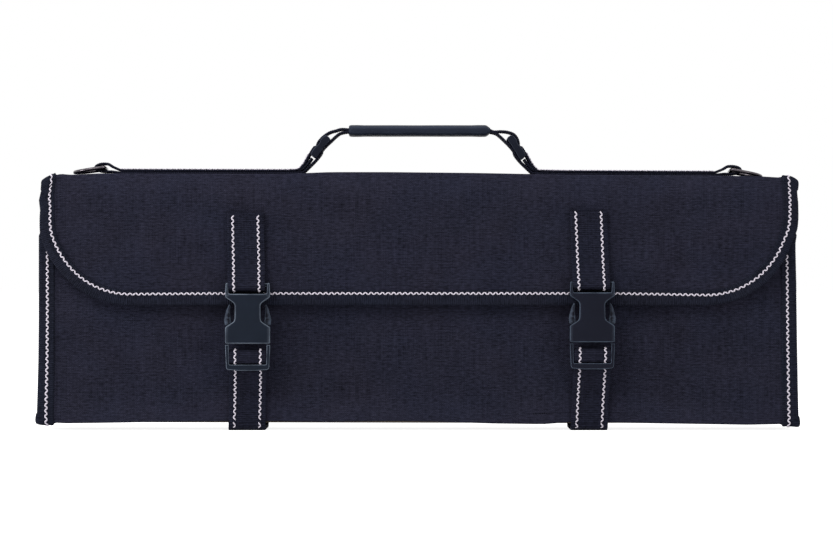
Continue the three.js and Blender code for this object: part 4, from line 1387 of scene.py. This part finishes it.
def channel_path(rows, width, rise, thick):
    """Half-round channels side by side, with a flat seam between them: (along the rows, above the lining)."""
    points = [(0.0, 0.0)]
    for row in range(rows):
        middle = HOLDER_PITCH * (row + 0.5)
        points.append((middle - width / 2 - thick, 0.0))
        for t in np.linspace(np.pi, 0, 15):
            points.append((middle + (width / 2 + thick * 0.5) * np.cos(t), rise * np.sin(t) ** 0.62))
        points.append((middle + width / 2 + thick, 0.0))
    return np.array([*points, (HOLDER_PITCH * rows, 0.0)])


def add_holders():
    for name, rows, side, width, rise, thick, material, slot, body in HOLDERS:
        (left, _, foot), (right, _, _) = low(name), high(name)
        lining_y = back_inner - seat if side > 0 else front_back + seat
        path = channel_path(rows, width, rise, thick)
        across = np.full(len(path), (left + right) / 2)
        line = np.column_stack([across, lining_y - side * (path[:, 1] + thick / 2), foot + path[:, 0]])
        b = Build()
        section = strip_section(right - left, thick, columns=24)
        ribbon(b, line, X * side, section, 0.7, 1.0 if slot == "elastic" else None, 0.08)
        made = place(b.done(name + "_cloth", material, TAPE_SHARP), body, node_name=name)
        if slot == "lining":
            declare(made, right - left, measured(line)[-1], held="folded")
        seams = []
        for row in range(rows + 1):
            z = foot + np.clip(row * HOLDER_PITCH, HOLDER_MARGIN, rows * HOLDER_PITCH - HOLDER_MARGIN)
            y = lining_y - side * (thick + 0.05)
            _, points = resample([(left + HOLDER_MARGIN, y, z), (right - HOLDER_MARGIN, y, z)], 1.0)
            seams.append(seam_of(points, -side * Y, Z))
        add_stitches(name + "_seam", seams, body, pitch=5.0, width=1.2, radius=0.28)


# End walls
WALL_HEM, HEM_PROUD, HEM_PAST = 6.0, 0.25, 0.28
RUNNING_GAP = 0.5


def add_end_walls():
    (_, upper_near, foot), (_, far, top) = low("end_left_board"), high("end_left_board")
    near = front_back + proud + RUNNING_GAP
    shoulder = high("front_tape")[2] + RUNNING_GAP
    rows = np.concatenate([np.linspace(foot, shoulder, 20), np.linspace(shoulder + 0.01, top, 8)])
    fronts = np.where(rows > shoulder, upper_near, near)[:, None]
    y = fronts + (far - fronts) * np.linspace(0, 1, 22)
    z = rows[:, None] + np.zeros_like(y)
    from_edges = np.minimum.reduce([y - fronts, far - y, z - foot, top - z])
    lift = wobble(y, z, WALL_UNEVEN) * np.clip(from_edges / EVEN_CALM, 0, 1)
    edge = [(near, foot), (near, shoulder), (upper_near, shoulder), (upper_near, top), (far, top)]
    for word, side in SIDES:
        outer = max(side * low(f"end_{word}_cover")[0], side * high(f"end_{word}_cover")[0])
        inner = min(side * low(f"end_{word}_lining")[0], side * high(f"end_{word}_lining")[0])
        for layer, x, thick, material, slot in (
            ("cover", outer, cover_thick, COVER, "cloth"),
            ("lining", inner + lining_thick, lining_thick, LINING, "lining"),
            ("board", outer - cover_thick, outer - inner - cover_thick - lining_thick, BOARD, "board"),
        ):
            name = f"end_{word}_{layer}"
            faces = (np.stack([side * (at + lift), y, z], -1) for at in (x, x - thick))
            made = sheet_skin(name + "_sheet", *faces, y, z, material)
            place(made, "tray", node_name=name)
            if slot != "board":
                declare(made, far - near, top - foot)
        add_wall_hem(f"end_{word}_hem", side, edge, outer, inner)


def add_wall_hem(name, side, edge, outer, inner):
    """Ribbed tape folded over the wall's free edges."""
    at, edge = resample(edge, RIB / 2)
    section = np.array([
        (WALL_HEM, outer), (WALL_HEM - 0.3, outer + HEM_PROUD), (0, outer + HEM_PROUD), (-HEM_PAST, outer),
        (-HEM_PAST, inner), (0, inner - HEM_PROUD), (WALL_HEM - 0.3, inner - HEM_PROUD), (WALL_HEM, inner),
        (0.02, inner), (0.02, outer),
    ])
    points = edge[:, None] + section[:, :1] * outward(edge, 1)[:, None]
    y = np.clip(points[..., 0], edge[:, 0].min() - HEM_PAST, edge[:, 0].max())
    z = np.minimum(points[..., 1], edge[:, 1].max() + HEM_PAST)
    rings = np.stack([np.broadcast_to(side * section[:, 1], y.shape), y, z], -1)
    place(skin(name, rings, girth_of(section), at, TAPE, TAPE_SHARP), "tray")


add_straps()
add_buckles()
add_end_walls()
add_top_webbing()
add_rings()
add_handle()
add_holders()


# Floor, lights and background, in metres and watts
FLOOR_HALF, FLOOR_GLOW, AMBIENT = 30.0, 0.86, 0.42
WHITE = (1, 1, 1, 1)
LAMPS = (
    ("key", (-1.1, -1.5, 1.7), (0, 0, 0.09), (1.1, 0.9), 24),
    ("fill", (1.4, -1.8, 0.9), (0, 0, 0.09), (1.2, 1.0), 7),
    ("rim", (-1.6, -0.45, 0.3), (0, 0, 0.09), (0.3, 0.7), 9),
    ("top", (0.1, 0.1, 1.9), (0, 0, 0.1), (1.4, 0.8), 11),
)


def seen_directly(tree):
    """1 for rays from the camera, also by way of a mirror or glass, and 0 for light that falls on things."""
    camera, glossy, through = (
        node(tree, "LightPath", output=f"Is {kind} Ray") for kind in ("Camera", "Glossy", "Transmission")
    )
    return camera.maths("MAXIMUM", glossy).maths("MAXIMUM", through)


def add_stage():
    half = FLOOR_HALF
    mesh = bpy.data.meshes.new("floor")
    corners = [(-half, -half, 0), (half, -half, 0), (half, half, 0), (-half, half, 0)]
    mesh.from_pydata(corners, [], [(0, 1, 2, 3)])
    material, tree = new_material("floor")
    matt = {"Base Color": (0.9, 0.9, 0.9, 1), "Roughness": 1.0, "Specular IOR Level": 0.0}
    glow = node(tree, "Emission", {"Color": WHITE, "Strength": seen_directly(tree) * FLOOR_GLOW})
    both = node(tree, "AddShader", {0: node(tree, "BsdfPrincipled", matt), 1: glow})
    node(tree, "OutputMaterial", {0: both})
    mesh.materials.append(material)
    linked("floor", mesh)

    world = bpy.data.worlds.new("world")
    bpy.context.scene.world = world
    world.use_nodes = True
    tree = world.node_tree
    tree.nodes.clear()
    strength = seen_directly(tree).ramp(0, 1, AMBIENT, 1.0)
    node(tree, "OutputWorld", {0: node(tree, "Background", {"Color": WHITE, "Strength": strength})})

    for name, where, aim, size, power in LAMPS:
        data = bpy.data.lights.new(name, "AREA")
        data.shape = "RECTANGLE"
        data.size, data.size_y = size
        data.energy = power
        lamp = linked(name, data)
        lamp.location = where
        lamp.rotation_euler = (Vector(aim) - Vector(where)).to_track_quat("-Z", "Y").to_euler()


bpy.context.scene.view_settings.view_transform = "Standard"
add_stage()

for piece, flat, area, held in sheets:
    flat_metres = (flat[0] * MM, flat[1] * MM)
    None if area is None else area * MM * MM
